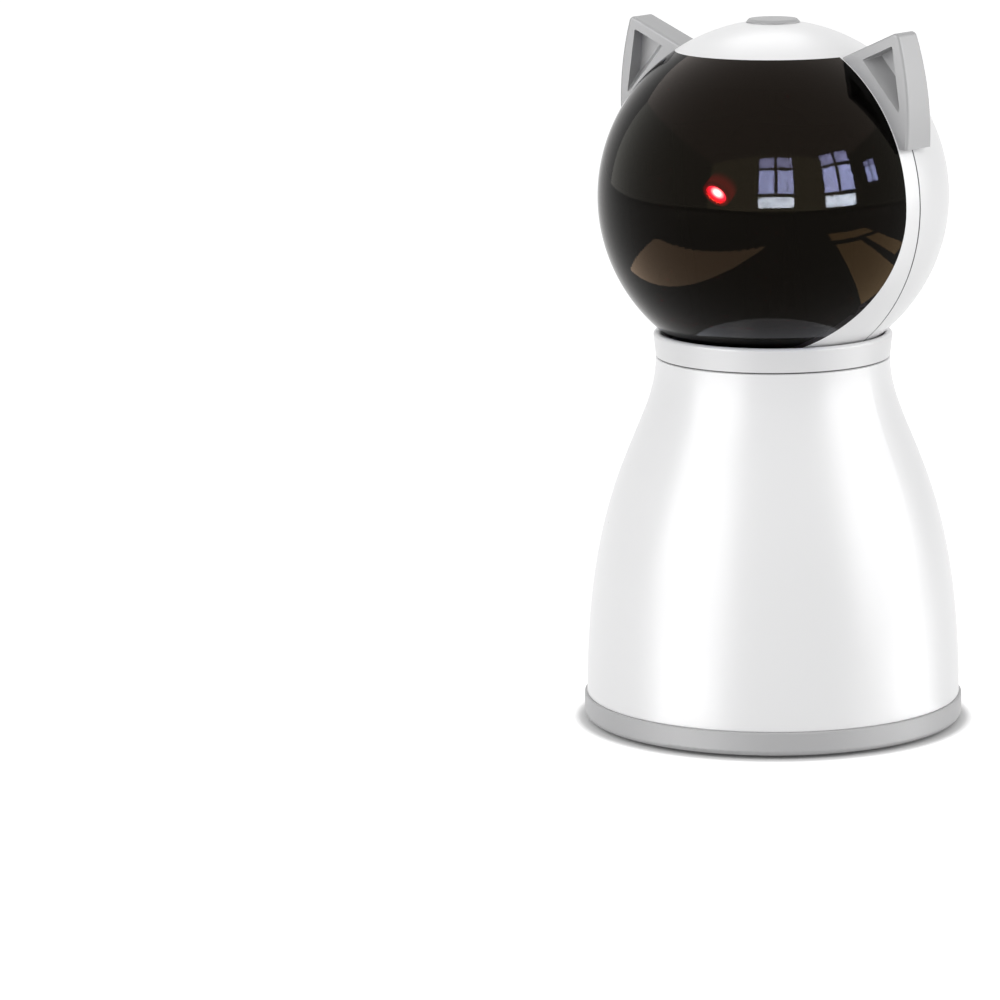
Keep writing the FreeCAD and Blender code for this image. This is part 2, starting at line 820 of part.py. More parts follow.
def pan_bracket_screws():
    seat_z = chassis_low_z - gearbox_length - bracket_lip
    length = chassis_top_z - seat_z - recess_depth
    return [screw(small_screw, Vec(place.x, place.y, seat_z), Vec(0, 0, 1), length)
            for place in bracket_screw_places()]


def neck_chassis():
    shape = post(chassis_radius, chassis_low_z, chassis_top_z)
    stop_post = post(stop_post_radius, chassis_top_z, stop_post_top_z, Vec(0, -stop_radius, 0))
    shape = shape.fuse(stop_post)
    shape = shape.cut(post(hub_bore + hole_margin, chassis_low_z, chassis_top_z))
    shape = shape.cut(post(can_collar_radius + hole_margin, chassis_low_z, chassis_top_z, pan_shaft))
    for angle in chassis_screw_angles:
        seat = polar(chassis_circle, angle, chassis_low_z)
        shape = shape.cut(slack_hole(small_screw, seat, Vec(0, 0, 1), chassis_plate))
    for place in bracket_screw_places():
        seat = Vec(place.x, place.y, chassis_low_z)
        shape = shape.cut(pilot(small_screw, seat, Vec(0, 0, 1), chassis_plate))
    return shape.removeSplitter()


def chassis_screws():
    length = chassis_plate + chassis_boss_height - shell_wall - thread_end_gap
    return [screw(small_screw, polar(chassis_circle, angle, chassis_low_z), Vec(0, 0, 1), length)
            for angle in chassis_screw_angles]


# ---- Battery -----------------------------------------------------------------------------
def cell_cylinder(radius, half_length):
    return rod(radius, Vec(-half_length, cell_y, cell_axis_z), Vec(half_length, cell_y, cell_axis_z))


def battery_cell():
    cell = cell_cylinder(cell_radius, cell_length / 2)
    end_edges = [edge for edge in cell.Edges if edge.Curve.TypeId == "Part::GeomCircle"]
    return cell.makeFillet(cell_edge_round, end_edges)


def battery_tray():
    half_width = cell_radius + tray_wall
    pocket_half = cell_length / 2 + contact_thickness
    cradle = box(-tray_half_length, tray_half_length, cell_y - half_width, cell_y + half_width,
                 plate_top, cell_axis_z)
    ends = [box(min(x, x + side * tray_wall), max(x, x + side * tray_wall), cell_y - contact_width,
                cell_y + contact_width, plate_top, plate_top + tray_end_height)
            for side, x in ((-1, -pocket_half), (1, pocket_half))]
    shape = cradle.cut(cell_cylinder(cell_radius + cell_play, pocket_half)).fuse(ends)
    shape = shape.common(post(spigot_bore - tray_margin, plate_top, cell_axis_z + cell_radius))
    notch = strap_width / 2 + fit
    foot = cell_radius + strap_thickness + strap_foot_reach
    pads = box(-notch, notch, cell_y - foot, cell_y + foot, plate_top, strap_foot_z)
    shape = shape.cut(box(-notch, notch, cell_y - foot, cell_y + foot, strap_foot_z, cell_axis_z))
    shape = shape.fuse(pads).cut(cell_cylinder(cell_radius + cell_play, pocket_half))
    for place in strap_screw_places():
        seat = Vec(place.x, place.y, strap_foot_z)
        shape = shape.cut(slack_hole(small_screw, seat, Vec(0, 0, -1), strap_foot_height))
    return shape.removeSplitter()


def battery_contacts():
    inner = cell_length / 2
    low_z = cell_axis_z - contact_height / 2
    half_width = contact_width / 2
    shapes = []
    for side in (-1, 1):
        x_low = min(side * inner, side * (inner + contact_thickness))
        tab = box(x_low, x_low + contact_thickness, cell_y - half_width, cell_y + half_width,
                  low_z, low_z + contact_height)
        shapes.append(tab)
    return shapes


def battery_strap():
    half = strap_width / 2
    inner = cell_radius + cell_play
    outer = inner + strap_thickness
    foot = cell_radius + strap_thickness + strap_foot_reach
    start = Vec(-half, cell_y, cell_axis_z)
    end = Vec(half, cell_y, cell_axis_z)
    upper = box(-half, half, cell_y - outer, cell_y + outer, cell_axis_z, cell_axis_z + outer)
    arch = rod(outer, start, end).cut(rod(inner, start, end)).common(upper)
    shape = arch
    for side in (-1, 1):
        near, far = sorted((cell_y + side * inner, cell_y + side * outer))
        foot_near, foot_far = sorted((cell_y + side * inner, cell_y + side * foot))
        leg = box(-half, half, near, far, strap_foot_z, cell_axis_z)
        toe = box(-half, half, foot_near, foot_far, strap_foot_z, strap_foot_z + strap_thickness)
        shape = shape.fuse([leg, toe])
    for place in strap_screw_places():
        seat = Vec(place.x, place.y, strap_foot_z + strap_thickness)
        shape = shape.cut(slack_hole(small_screw, seat, Vec(0, 0, -1), strap_thickness))
    return shape.removeSplitter()


def strap_screws():
    length = strap_thickness + strap_foot_height + base_plate - 2 * recess_depth
    return [screw(small_screw, Vec(place.x, place.y, strap_foot_z + strap_thickness), Vec(0, 0, -1), length)
            for place in strap_screw_places()]


# ---- Main board --------------------------------------------------------------------------
def main_board():
    tail_y = socket_mouth_y - board_tail_margin
    shape = box(-board_half_width, board_half_width, board_front, board_rear, board_low_z, board_top_z)
    shape = shape.fuse(box(-board_tail_half_width, board_tail_half_width, board_rear - overrun, tail_y,
                           board_low_z, board_top_z))
    for place in board_post_places():
        top = Vec(place.x, place.y, board_top_z)
        shape = shape.cut(slack_hole(small_screw, top, Vec(0, 0, -1), board_thickness))
    return shape.removeSplitter()


def board_screws():
    length = board_thickness + board_screw_bite
    return [screw(small_screw, Vec(place.x, place.y, board_top_z), Vec(0, 0, -1), length)
            for place in board_post_places()]


def on_board(place):
    across, along = place
    return Vec(across * board_half_width, board_front + along * (board_rear - board_front), 0)


def chip(centre, length, width, height):
    return box(centre.x - length / 2, centre.x + length / 2, centre.y - width / 2, centre.y + width / 2,
               board_top_z, board_top_z + height)


def board_parts():
    connectors = [chip(Vec(x, connector_y, 0), connector_width, connector_depth, connector_height)
                  for x in connector_xs]
    controller = chip(on_board(controller_place), controller_side, controller_side, controller_height)
    charger = chip(on_board(charger_place), charger_length, charger_width, charger_height)
    coil = chip(on_board(coil_place), coil_side, coil_side, coil_height)
    capacitor = post(capacitor_radius, board_top_z, board_top_z + capacitor_height, on_board(capacitor_place))
    return connectors + [controller, charger, coil, capacitor]


def usb_socket():
    half_width = socket_width / 2
    low_z = board_top_z
    high_z = low_z + socket_height
    rear_y = socket_mouth_y - socket_length
    outer = rounded_bar(half_width, low_z, high_z, rear_y, socket_mouth_y)
    inner = rounded_bar(half_width - socket_wall, low_z + socket_wall, high_z - socket_wall,
                        rear_y + socket_wall, socket_mouth_y)
    tongue_half = half_width - socket_tongue_side
    tongue = box(-tongue_half, tongue_half, rear_y, socket_mouth_y - socket_tongue_set_back,
                 port_z - socket_tongue_thickness / 2, port_z + socket_tongue_thickness / 2)
    return joined(outer.cut(inner), tongue)


def rounded_bar(half_width, z_low, z_high, y_low, y_high):
    radius = (z_high - z_low) / 2
    middle_z = (z_low + z_high) / 2
    flat = half_width - radius
    ends = [rod(radius, Vec(x, y_low, middle_z), Vec(x, y_high, middle_z)) for x in (-flat, flat)]
    return box(-flat, flat, y_low, y_high, z_low, z_high).fuse(ends).removeSplitter()


# ---- Head shells -------------------------------------------------------------------------
def cover_region(shift):
    """Space in front of the cover's edge: straight above the middle, swept forward below it."""
    edge_y = -cover_edge + shift
    far_y = -2 * head_radius
    sweep_drop = head_z - head_foot_z + overrun
    sweep_end = cover_sweep_radius - math.sqrt(cover_sweep_radius ** 2 - sweep_drop ** 2)
    half_drop = sweep_drop / 2
    half_end = cover_sweep_radius - math.sqrt(cover_sweep_radius ** 2 - half_drop ** 2)
    top_z = head_z + head_radius + overrun
    x = -head_radius - overrun
    low_z = head_z - sweep_drop
    corner = Vec(x, edge_y - sweep_end, low_z)
    front_top = Vec(x, far_y, top_z)
    edge_top = Vec(x, edge_y, top_z)
    edge_middle = Vec(x, edge_y, head_z)
    front_low = Vec(x, far_y, low_z)
    edges = [line(front_top, edge_top), line(edge_top, edge_middle),
             arc(edge_middle, Vec(x, edge_y - half_end, head_z - half_drop), corner),
             line(corner, front_low), line(front_low, front_top)]
    return face_of(edges).extrude(Vec(-2 * x, 0, 0))


def behind(y):
    reach = head_radius + overrun
    return box(-reach, reach, y, reach, 0, head_z + reach)


def smoked_cover():
    shell = ball_shell(head_radius, head_radius - cover_wall, head_foot_z, cap_z)
    return shell.common(cover_region(0))


def head_screw_places():
    circle = head_bore - head_screw_inset
    places = [polar(circle, angle) for angle in head_screw_angles]
    return [head_centre + Vec(place.x, 0, place.y) for place in places]


def seam_groove():
    """Shallow groove round the ball where the two white shells meet."""
    reach = head_radius + overrun
    half = head_seam_width / 2
    belt = box(-reach, reach, -half, half, head_foot_z, head_z + reach)
    return belt.cut(ball(head_radius - head_seam_depth))


def head_front_frame():
    shape = ball_shell(head_radius, head_bore, head_foot_z, cap_z).cut(seam_groove())
    shape = shape.cut(cover_region(0)).cut(behind(0))
    ledge_outer = head_radius - cover_wall - glue_gap
    ledge_low_z = head_foot_z + 2 * yoke_plate
    ledge_high_z = cap_z - cap_spigot_depth - fit
    ledge = ball_shell(ledge_outer, ledge_outer - ledge_wall, ledge_low_z, ledge_high_z)
    opening = post(head_radius, ledge_low_z + ledge_reach, ledge_high_z - ledge_reach)
    ledge = ledge.common(cover_region(ledge_root)).cut(cover_region(-ledge_reach).common(opening))
    lugs = [rod(head_lug_radius, place - Vec(0, head_lug_depth, 0), place) for place in head_screw_places()]
    front_bosses = [shell_boss(place) for place in shell_boss_places() if place.y < 0]
    shape = shape.fuse([ledge] + lugs + front_bosses)
    for place in head_screw_places():
        seat = place - Vec(0, head_lug_depth, 0)
        shape = shape.cut(head_pocket(small_screw, seat, Vec(0, 1, 0), ledge_reach + cover_edge))
        shape = shape.cut(slack_hole(small_screw, seat, Vec(0, 1, 0), head_lug_depth))
    return trimmed_bosses(shape, front=True)


def head_rear_shell():
    shape = ball_shell(head_radius, head_bore, head_foot_z, cap_z).common(behind(0)).cut(seam_groove())
    back = Vec(0, head_boss_depth, 0)
    bosses = [rod(head_lug_radius, place, place + back) for place in head_screw_places()]
    rear_bosses = [shell_boss(place) for place in shell_boss_places() if place.y > 0]
    shape = shape.fuse(bosses + rear_bosses).common(ball(head_radius))
    for place in head_screw_places():
        shape = shape.cut(pilot(small_screw, place, Vec(0, 1, 0), head_boss_depth - pilot_floor))
    for side in (-1, 1):
        shape = shape.cut(slack_hole(small_screw, head_centre, ear_screw_way(side), head_radius + overrun))
    return trimmed_bosses(shape, front=False)


def shell_boss(place):
    return post(shell_boss_radius, head_foot_z, head_foot_z + shell_boss_height, place)


def trimmed_bosses(shape, front):
    """Drills the foot bosses of one shell and keeps them inside the ball."""
    for place in shell_boss_places():
        if (place.y < 0) == front:
            seat = Vec(place.x, place.y, head_foot_z)
            shape = shape.cut(pilot(small_screw, seat, Vec(0, 0, 1), shell_boss_height - pilot_floor))
    return shape.common(ball(head_radius)).removeSplitter()


def shell_screws():
    seat_z = disc_low_z + small_head_height
    length = head_foot_z - seat_z + shell_boss_height - pilot_floor - thread_end_gap
    return [screw(small_screw, Vec(place.x, place.y, seat_z), Vec(0, 0, 1), length)
            for place in shell_boss_places()]


def head_screws():
    length = head_lug_depth + head_boss_depth - pilot_floor - thread_end_gap
    return [screw(small_screw, place - Vec(0, head_lug_depth, 0), Vec(0, 1, 0), length)
            for place in head_screw_places()]


def top_cap():
    spigot_outer = head_bore - glue_gap
    spigot_inner = spigot_outer - cap_spigot_wall
    above = post(head_radius, cap_z, head_z + head_radius + overrun)
    crown = ball(head_radius).cut(ball(head_bore)).common(above)
    spigot = ball_shell(spigot_outer, spigot_inner, cap_z - cap_spigot_depth, cap_z)
    root = ball_shell(head_radius - head_wall / 2, spigot_inner, cap_z, cap_z + cap_spigot_wall)
    posts = [post(cap_post_radius, switch_board_top_z, head_z + head_radius - head_wall, place)
             for place in cap_post_places()]
    posts = [shape.common(ball(head_radius - head_wall / 2)) for shape in posts]
    shape = crown.fuse([spigot, root] + posts)
    for place in cap_post_places():
        foot = Vec(place.x, place.y, switch_board_top_z)
        shape = shape.cut(pilot(small_screw, foot, Vec(0, 0, 1), cap_screw_grip))
    hole = post(button_radius + button_clearance, cap_z, head_z + head_radius + overrun)
    return shape.cut(hole).removeSplitter()


def cap_post_places():
    return [Vec(-cap_post_offset, 0, 0), Vec(cap_post_offset, 0, 0)]


# ---- Ears --------------------------------------------------------------------------------
def ear_point(angle, height, y=0.0):
    """Point over the ball's side at an elevation seen from the front."""
    across = polar(head_radius + height, angle)
    return head_centre + Vec(across.x, y, across.y)


def rounded_polygon(points, radius):
    """Closed wire through the points with each corner rounded."""
    edges = []
    count = len(points)
    trims = []
    for index, corner in enumerate(points):
        into = (corner - points[index - 1]).normalize()
        away = (points[(index + 1) % count] - corner).normalize()
        half_turn = into.getAngle(away) / 2
        reach = radius * math.tan(half_turn)
        inward = (away - into).normalize()
        middle = corner + inward * bulge(reach, half_turn)
        trims.append((corner - into * reach, middle, corner + away * reach))
    for index, (first, middle, last) in enumerate(trims):
        edges.append(arc(first, middle, last))
        edges.append(line(last, trims[(index + 1) % count][0]))
    return Part.Wire(edges)


def inset_triangle(corners, insets):
    """Corners of a triangle whose sides are moved in; side i runs from corner i to the next."""
    lengths = [(corners[(i + 1) % 3] - corners[i]).Length for i in range(3)]
    double_area = (corners[1] - corners[0]).cross(corners[2] - corners[0]).Length
    moved = []
    for i in range(3):
        before = (i + 2) % 3
        away = (corners[(i + 1) % 3] - corners[i]) * (insets[before] * lengths[before] / double_area)
        back = (corners[before] - corners[i]) * (insets[i] * lengths[i] / double_area)
        moved.append(corners[i] + away + back)
    return moved


def ear_recess():
    """Three-cornered hollow, steep on its outer sides and sloped on the side of the ball."""
    angles = (ear_recess_tip_angle, ear_recess_inner_angle, ear_recess_outer_angle)
    heights = (ear_recess_tip_height, ear_recess_inner_height, ear_recess_outer_height)
    mouth_points = [ear_point(a, h, -ear_front) for a, h in zip(angles, heights)]
    sunk = Vec(0, ear_recess_depth, 0)
    insets = (ear_recess_draft, ear_recess_slope, ear_recess_draft)
    floor_points = [point + sunk for point in inset_triangle(mouth_points, insets)]
    mouth = rounded_polygon(mouth_points, ear_recess_round)
    floor = rounded_polygon(floor_points, ear_recess_round)
    return ear_leaned(Part.makeLoft([mouth, floor], True))


def ear_leaned(shape):
    """Leans a shape back, with the ear's front face, about the chord of the ear's foot."""
    foot = ear_point(ear_inner_angle, 0, -ear_front)
    chord = ear_point(ear_outer_angle, ear_outer_height, -ear_front) - foot
    leaned = shape.copy()
    leaned.rotate(foot, chord, ear_front_lean)
    return leaned


def right_ear():
    sink = -head_wall
    inner = ear_point(ear_inner_angle, sink, -ear_front)
    foot = ear_point(ear_inner_angle, 0, -ear_front)
    tip = ear_point(ear_tip_angle, ear_tip_height, -ear_front)
    bulge_point = ear_point(ear_bulge_angle, ear_bulge_height, -ear_front)
    outer = ear_point(ear_outer_angle, ear_outer_height, -ear_front)
    heel = Vec(ear_point(ear_outer_angle, sink).x, -ear_front, outer.z)
    edges = [line(inner, foot), line(foot, tip), arc(tip, bulge_point, outer),
             line(outer, heel), line(heel, inner)]
    blank = face_of(edges).extrude(Vec(0, ear_front + ear_rear, 0))
    tip_edges = [edge for edge in blank.Edges if all(same_height(vertex, tip) for vertex in edge.Vertexes)]
    blank = blank.makeFillet(ear_round, tip_edges)
    slab = box(0, 2 * head_radius, ear_rear, 3 * ear_rear, outer.z - head_radius, outer.z + 2 * head_radius)
    slab.rotate(Vec(0, ear_rear, outer.z), Vec(1, 0, 0), ear_rear_lean)
    reach = 2 * head_radius
    front = box(-reach, reach, -2 * ear_front, -ear_front, outer.z - reach, outer.z + reach)
    shape = blank.cut(slab).cut(ear_leaned(front))
    rim = [edge for edge in shape.Edges if is_ear_rim(edge)]
    shape = shape.makeFillet(ear_edge_round, rim)
    shape = shape.cut(ball(head_radius)).cut(ear_recess())
    bite = head_radius + ear_screw_bite
    return shape.cut(pilot(small_screw, head_centre, ear_screw_way(1), bite)).removeSplitter()


def same_height(vertex, point):
    return math.isclose(vertex.Z, point.z, abs_tol=seam_chamfer)


def is_ear_rim(edge):
    """True for the outer rims of the ear's front and rear faces, above the ball."""
    middle = edge.valueAt((edge.FirstParameter + edge.LastParameter) / 2)
    along = edge.Vertexes[-1].Point - edge.Vertexes[0].Point
    crosses = abs(along.y) > ear_front
    over = math.hypot(middle.x, middle.z - head_z) - head_radius
    return over > ear_rim_rise and not crosses


def mirrored(shape):
    return shape.mirror(Vec(0, 0, 0), Vec(1, 0, 0))


def ear_screw_way(side):
    angle = math.radians(ear_screw_angle)
    turn = math.asin(ear_screw_set_back / head_radius)
    return Vec(side * math.cos(angle) * math.cos(turn), math.sin(turn), math.sin(angle) * math.cos(turn))


def ear_screws():
    seat = math.sqrt(head_bore ** 2 - small_head_radius ** 2)
    length = head_radius - seat + ear_screw_bite - recess_depth
    return [screw(small_screw, head_centre + ear_screw_way(side) * seat, ear_screw_way(side), length)
            for side in (-1, 1)]


# ---- Power button and its switch ---------------------------------------------------------
def power_button():
    roof_z = button_top_z - button_wall
    return turned([(0, nub_top_z), (button_stem_radius, nub_top_z), (button_stem_radius, roof_z),
                   (button_radius - button_wall, roof_z), (button_radius - button_wall, flange_low_z),
                   (flange_radius, flange_low_z), (flange_radius, flange_top_z),
                   (button_radius, flange_top_z), (button_radius, button_top_z - button_chamfer),
                   (button_radius - button_chamfer, button_top_z), (0, button_top_z)])


def switch_nub():
    return post(nub_radius, nub_top_z - nub_height, nub_top_z)


def tact_switch():
    half = switch_side / 2
    body = box(-half, half, -half, half, switch_board_top_z, switch_top_z)
    well_low_z = nub_top_z - nub_height - button_travel - fit
    return body.cut(post(nub_radius + bush_clearance, well_low_z, switch_top_z))


def switch_board():
    half_length = switch_board_length / 2
    half_width = switch_board_width / 2
    low_z = switch_board_low_z
    shape = box(-half_length, half_length, -half_width, half_width, low_z, switch_board_top_z)
    for place in cap_post_places():
        seat = Vec(place.x, place.y, low_z)
        shape = shape.cut(slack_hole(small_screw, seat, Vec(0, 0, 1), switch_board_thickness))
    socket = box(-connector_width / 2, connector_width / 2, -connector_depth / 2, connector_depth / 2,
                 low_z - connector_height / 2, low_z)
    return joined(shape, socket)


def switch_board_screws():
    length = switch_board_thickness + cap_screw_grip - thread_end_gap
    return [screw(small_screw, Vec(place.x, place.y, switch_board_low_z), Vec(0, 0, 1), length)
            for place in cap_post_places()]


# ---- Head chassis (yoke) -----------------------------------------------------------------
def upright(side):
    """Side plate that carries the tilt axle and, on one side, the tilt motor."""
    x_low = min(side * upright_inside, side * upright_outside)
    front_y = pivot.y - upright_margin
    rear_y = tilt_shaft.y + motor_flat / 2
    top_z = pivot.z + motor_width / 2 + pad_margin
    waist_z = pivot.z - motor_width / 2 - pad_margin
    points = [Vec(x_low, -upright_foot_half, head_foot_z), Vec(x_low, upright_foot_half, head_foot_z),
              Vec(x_low, rear_y, waist_z), Vec(x_low, rear_y, top_z), Vec(x_low, front_y, top_z),
              Vec(x_low, front_y, waist_z)]
    return polygon_face(points).extrude(Vec(upright_thickness, 0, 0))


def head_chassis():
    plate_radius = head_foot_bore - fit
    shape = post(plate_radius, head_foot_z, yoke_top_z)
    plinth_top_z = head_foot_z + plinth_height
    boss_top_z = head_foot_z + shell_boss_height + fit
    plinths = [post(plinth_radius, head_foot_z, plinth_top_z, place) for place in yoke_screw_places()]
    shape = shape.fuse([upright(-1), upright(1)] + plinths)
    for place in shell_boss_places():
        shape = shape.cut(post(shell_boss_radius + fit, head_foot_z, boss_top_z, place))
    shape = shape.cut(post(hub_bore, head_foot_z, plinth_top_z))
    for place in yoke_screw_places():
        seat = Vec(place.x, place.y, head_foot_z)
        shape = shape.cut(pilot(small_screw, seat, Vec(0, 0, 1), yoke_screw_grip))
    reach = Vec(upright_outside + overrun, 0, 0)
    shape = shape.cut(rod(bush_seat_radius, pivot - reach, pivot + reach))
    shape = shape.cut(rod(can_collar_radius + hole_margin, tilt_shaft, tilt_shaft + reach))
    for place in tilt_screw_places():
        shape = shape.cut(slack_hole(tiny_screw, place, Vec(-1, 0, 0), upright_thickness))
    return shape.removeSplitter()


def tilt_screw_places():
    reach = motor_width / 2 - tilt_screw_inset
    return [tilt_shaft + Vec(upright_outside, 0, side * reach) for side in (-1, 1)]


def turntable_screws():
    seat_z = disc_low_z + small_head_height
    length = head_foot_z - seat_z + yoke_screw_grip - thread_end_gap
    return [screw(small_screw, Vec(place.x, place.y, seat_z), Vec(0, 0, 1), length)
            for place in yoke_screw_places()]


# ---- Tilt drive --------------------------------------------------------------------------
def across(shape, point, x):
    """Turns a shape made along Z to lie along X, with its X along Y, and moves it to a pivot."""
    moved = shape.copy()
    frame = FreeCAD.Placement(point + Vec(x, 0, 0), FreeCAD.Rotation(Vec(1, 1, 1), 120))
    moved.Placement = frame.multiply(moved.Placement)
    return moved


def tilt_motor_part(shape):
    flat_side = shape.copy()
    flat_side.rotate(Vec(0, 0, 0), Vec(0, 0, 1), 90)
    return across(flat_side, tilt_shaft, upright_inside)


def tilt_gearbox():
    shape = tilt_motor_part(gearbox())
    for place in tilt_screw_places():
        seat = place - Vec(upright_thickness, 0, 0)
        shape = shape.cut(pilot(tiny_screw, seat, Vec(-1, 0, 0), tilt_screw_grip))
    return shape


def tilt_motor_screws():
    length = upright_thickness + tilt_screw_grip - thread_end_gap
    return [screw(tiny_screw, place, Vec(-1, 0, 0), length) for place in tilt_screw_places()]


def tilt_bushes():
    shapes = []
    for side in (-1, 1):
        near = pivot + Vec(side * upright_inside, 0, 0)
        far = pivot + Vec(side * upright_outside, 0, 0)
        shapes.append(rod(bush_seat_radius, near, far).cut(rod(trunnion_radius + bush_clearance, near, far)))
    return shapes


def tilt_motor_shaft():
    start = tilt_shaft + Vec(upright_inside - shaft_in_gearbox, 0, 0)
    return rod(shaft_radius, start, tilt_shaft + Vec(sector_far, 0, 0))


def tilt_pinion():
    half_pitch = 180.0 / tilt_pinion_teeth
    shape = gear(tilt_pinion_teeth, tilt_module, tilt_face_width, 180.0 + half_pitch, shaft_radius)
    return across(shape, tilt_shaft, sector_near)


def tilt_sector():
    full = gear(tilt_sector_teeth, tilt_module, tilt_face_width, 0.0, trunnion_radius)
    reach = 2 * tilt_sector_radius
    spread = reach * math.tan(math.radians(tilt_sector_half_angle))
    wedge = polygon_face([Vec(0, 0, 0), Vec(reach, -spread, 0), Vec(reach, spread, 0)])
    shape = full.common(wedge.extrude(Vec(0, 0, tilt_face_width)))
    hub = post(sector_hub_radius, side_play - sector_gap, tilt_face_width)
    shape = joined(shape, hub.cut(post(trunnion_radius, side_play - sector_gap, tilt_face_width)))
    return across(shape, pivot, sector_near)


def sector_screw():
    seat = pivot + Vec(sector_far, 0, 0)
    wide_head = (tiny_screw_radius, trunnion_radius + sector_screw_lip, tiny_head_height)
    return screw(wide_head, seat, Vec(-1, 0, 0), sector_screw_grip - thread_end_gap)


# ---- Laser, made level and then tipped down to its rest angle ----------------------------
def tipped(shape):
    moved = shape.copy()
    moved.translate(pivot)
    moved.rotate(pivot, Vec(1, 0, 0), tilt_rest_angle)
    return moved


def along_beam(radius, front, rear):
    """Level cylinder about the beam's axis: distances in front of and behind the pivot."""
    return rod(radius, Vec(0, -front, 0), Vec(0, rear, 0))


def laser_carriage():
    half = carriage_length / 2
    shoulder_reach = upright_inside - side_play
    ring = along_beam(carriage_radius, half, half)
    shoulders = rod(carriage_shoulder, Vec(-shoulder_reach, 0, 0), Vec(shoulder_reach, 0, 0))
    trunnions = rod(trunnion_radius, Vec(-upright_outside, 0, 0), Vec(sector_far, 0, 0))
    shape = ring.fuse([shoulders, trunnions]).cut(along_beam(barrel_radius, half + overrun, half + overrun))
    set_hole = rod(small_screw_radius + thread_fit, Vec(0, 0, 0), Vec(0, 0, carriage_radius + overrun))
    end_hole = rod(tiny_screw_radius + thread_fit, Vec(sector_far - sector_screw_grip, 0, 0),
                   Vec(sector_far, 0, 0))
    return tipped(shape.cut(set_hole).cut(end_hole).removeSplitter())


def laser_barrel():
    shape = along_beam(barrel_radius, barrel_front, barrel_rear)
    shape = shape.cut(rod(lens_radius, Vec(0, -lens_rear, 0), Vec(0, -barrel_front, 0)))
    return tipped(shape.cut(rod(beam_bore, Vec(0, 0, 0), Vec(0, -barrel_front, 0))))


def laser_lens():
    return tipped(rod(lens_radius, Vec(0, -lens_rear, 0), Vec(0, -lens_front, 0)))


def laser_board():
    rear = barrel_rear + laser_board_thickness
    disc = rod(barrel_radius, Vec(0, barrel_rear, 0), Vec(0, rear, 0))
    driver = box(-driver_half_width, driver_half_width, rear, rear + laser_board_thickness,
                 -driver_half_height, driver_half_height)
    return tipped(joined(disc, driver))


def barrel_screw():
    shank = rod(small_screw_radius, Vec(0, 0, barrel_radius), Vec(0, 0, carriage_radius))
    key = box(-key_half_width, key_half_width, -key_half_width, key_half_width,
              carriage_radius - key_depth, carriage_radius)
    return tipped(shank.cut(key))


# ---- Wires -------------------------------------------------------------------------------
def body_harness():
    cell_x, trunk_x, motor_x = connector_xs
    can_low_z = chassis_low_z - gearbox_length - can_length - can_collar_length
    trunk = risen_wire(Vec(trunk_x, connector_y, connector_top_z), Vec(0, 0, chassis_low_z))
    trunk.append(Vec(0, 0, gear_low_z))
    motor = risen_wire(Vec(motor_x, connector_y, connector_top_z), Vec(0, pan_shaft.y, can_low_z))
    motor.append(Vec(0, pan_shaft.y, can_low_z))
    tab_x = -(cell_length + contact_thickness) / 2
    over_z = cell_axis_z + cell_radius + wire_clearance
    cell = [Vec(tab_x, cell_y, cell_axis_z + contact_height / 2), Vec(tab_x, cell_y, over_z),
            Vec(cell_x, connector_y, over_z), Vec(cell_x, connector_y, connector_top_z)]
    return [wire_run(trunk, wire_radius), wire_run(motor, thin_wire_radius),
            wire_run(cell, contact_thickness / 2)]


def risen_wire(foot, head):
    """First three points of a wire that leaves a connector upright and comes in under its far end."""
    rise = Vec(0, 0, (head.z - foot.z) / 3)
    return [foot, foot + rise, head - rise]


def head_harness():
    behind_y = tilt_shaft.y + motor_flat / 2 + harness_set_back
    board_z = switch_board_low_z - connector_height / 2
    points = [Vec(0, 0, gear_low_z), Vec(0, 0, head_foot_z + 2 * plinth_height),
              Vec(0, behind_y, tilt_shaft.z - motor_width), Vec(0, behind_y, tilt_shaft.z + motor_width / 2),
              Vec(0, 0, board_z - wire_clearance), Vec(0, 0, board_z)]
    return wire_run(points, wire_radius)


# ---- Files -------------------------------------------------------------------------------
def write(node, shape):
    solids = shape if isinstance(shape, list) else [shape]
    part = solids[0] if len(solids) == 1 else Part.makeCompound(solids)
    part.exportStep("parts/" + node + ".step")


def main():
    os.makedirs("parts", exist_ok=True)
    parts = [base_cover, rubber_feet, base_screws, body_shell, collar_ring, battery_tray, battery_cell,
             battery_contacts, battery_strap, strap_screws, main_board, board_parts, usb_socket, board_screws,
             neck_chassis, chassis_screws, pan_bush, pan_bracket, pan_bracket_screws, body_harness,
             pan_pinion, pan_motor_shaft, turntable, pan_gear, hub_retainer, retainer_screws, head_chassis,
             turntable_screws, head_rear_shell, head_front_frame, shell_screws, head_screws, smoked_cover,
             top_cap, right_ear, ear_screws, tilt_gearbox, tilt_motor_screws, tilt_bushes, switch_board,
             switch_board_screws, tact_switch, head_harness, power_button, switch_nub, tilt_pinion,
             tilt_motor_shaft, laser_carriage, tilt_sector, sector_screw, laser_barrel, laser_lens,
             laser_board, barrel_screw]
    for make in parts:
        write(make.__name__, make())
    write("left_ear", mirrored(right_ear()))
    write("pan_gearbox", pan_motor_part(gearbox()))
    write("pan_motor_can", pan_motor_part(motor_can()))
    write("tilt_motor_can", tilt_motor_part(motor_can()))


main()
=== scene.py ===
"""Looks of the automatic cat laser toy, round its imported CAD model. Metres, +Z up, dark face along -Y."""

import json
import math

import bpy
from mathutils import Matrix, Quaternion, Vector


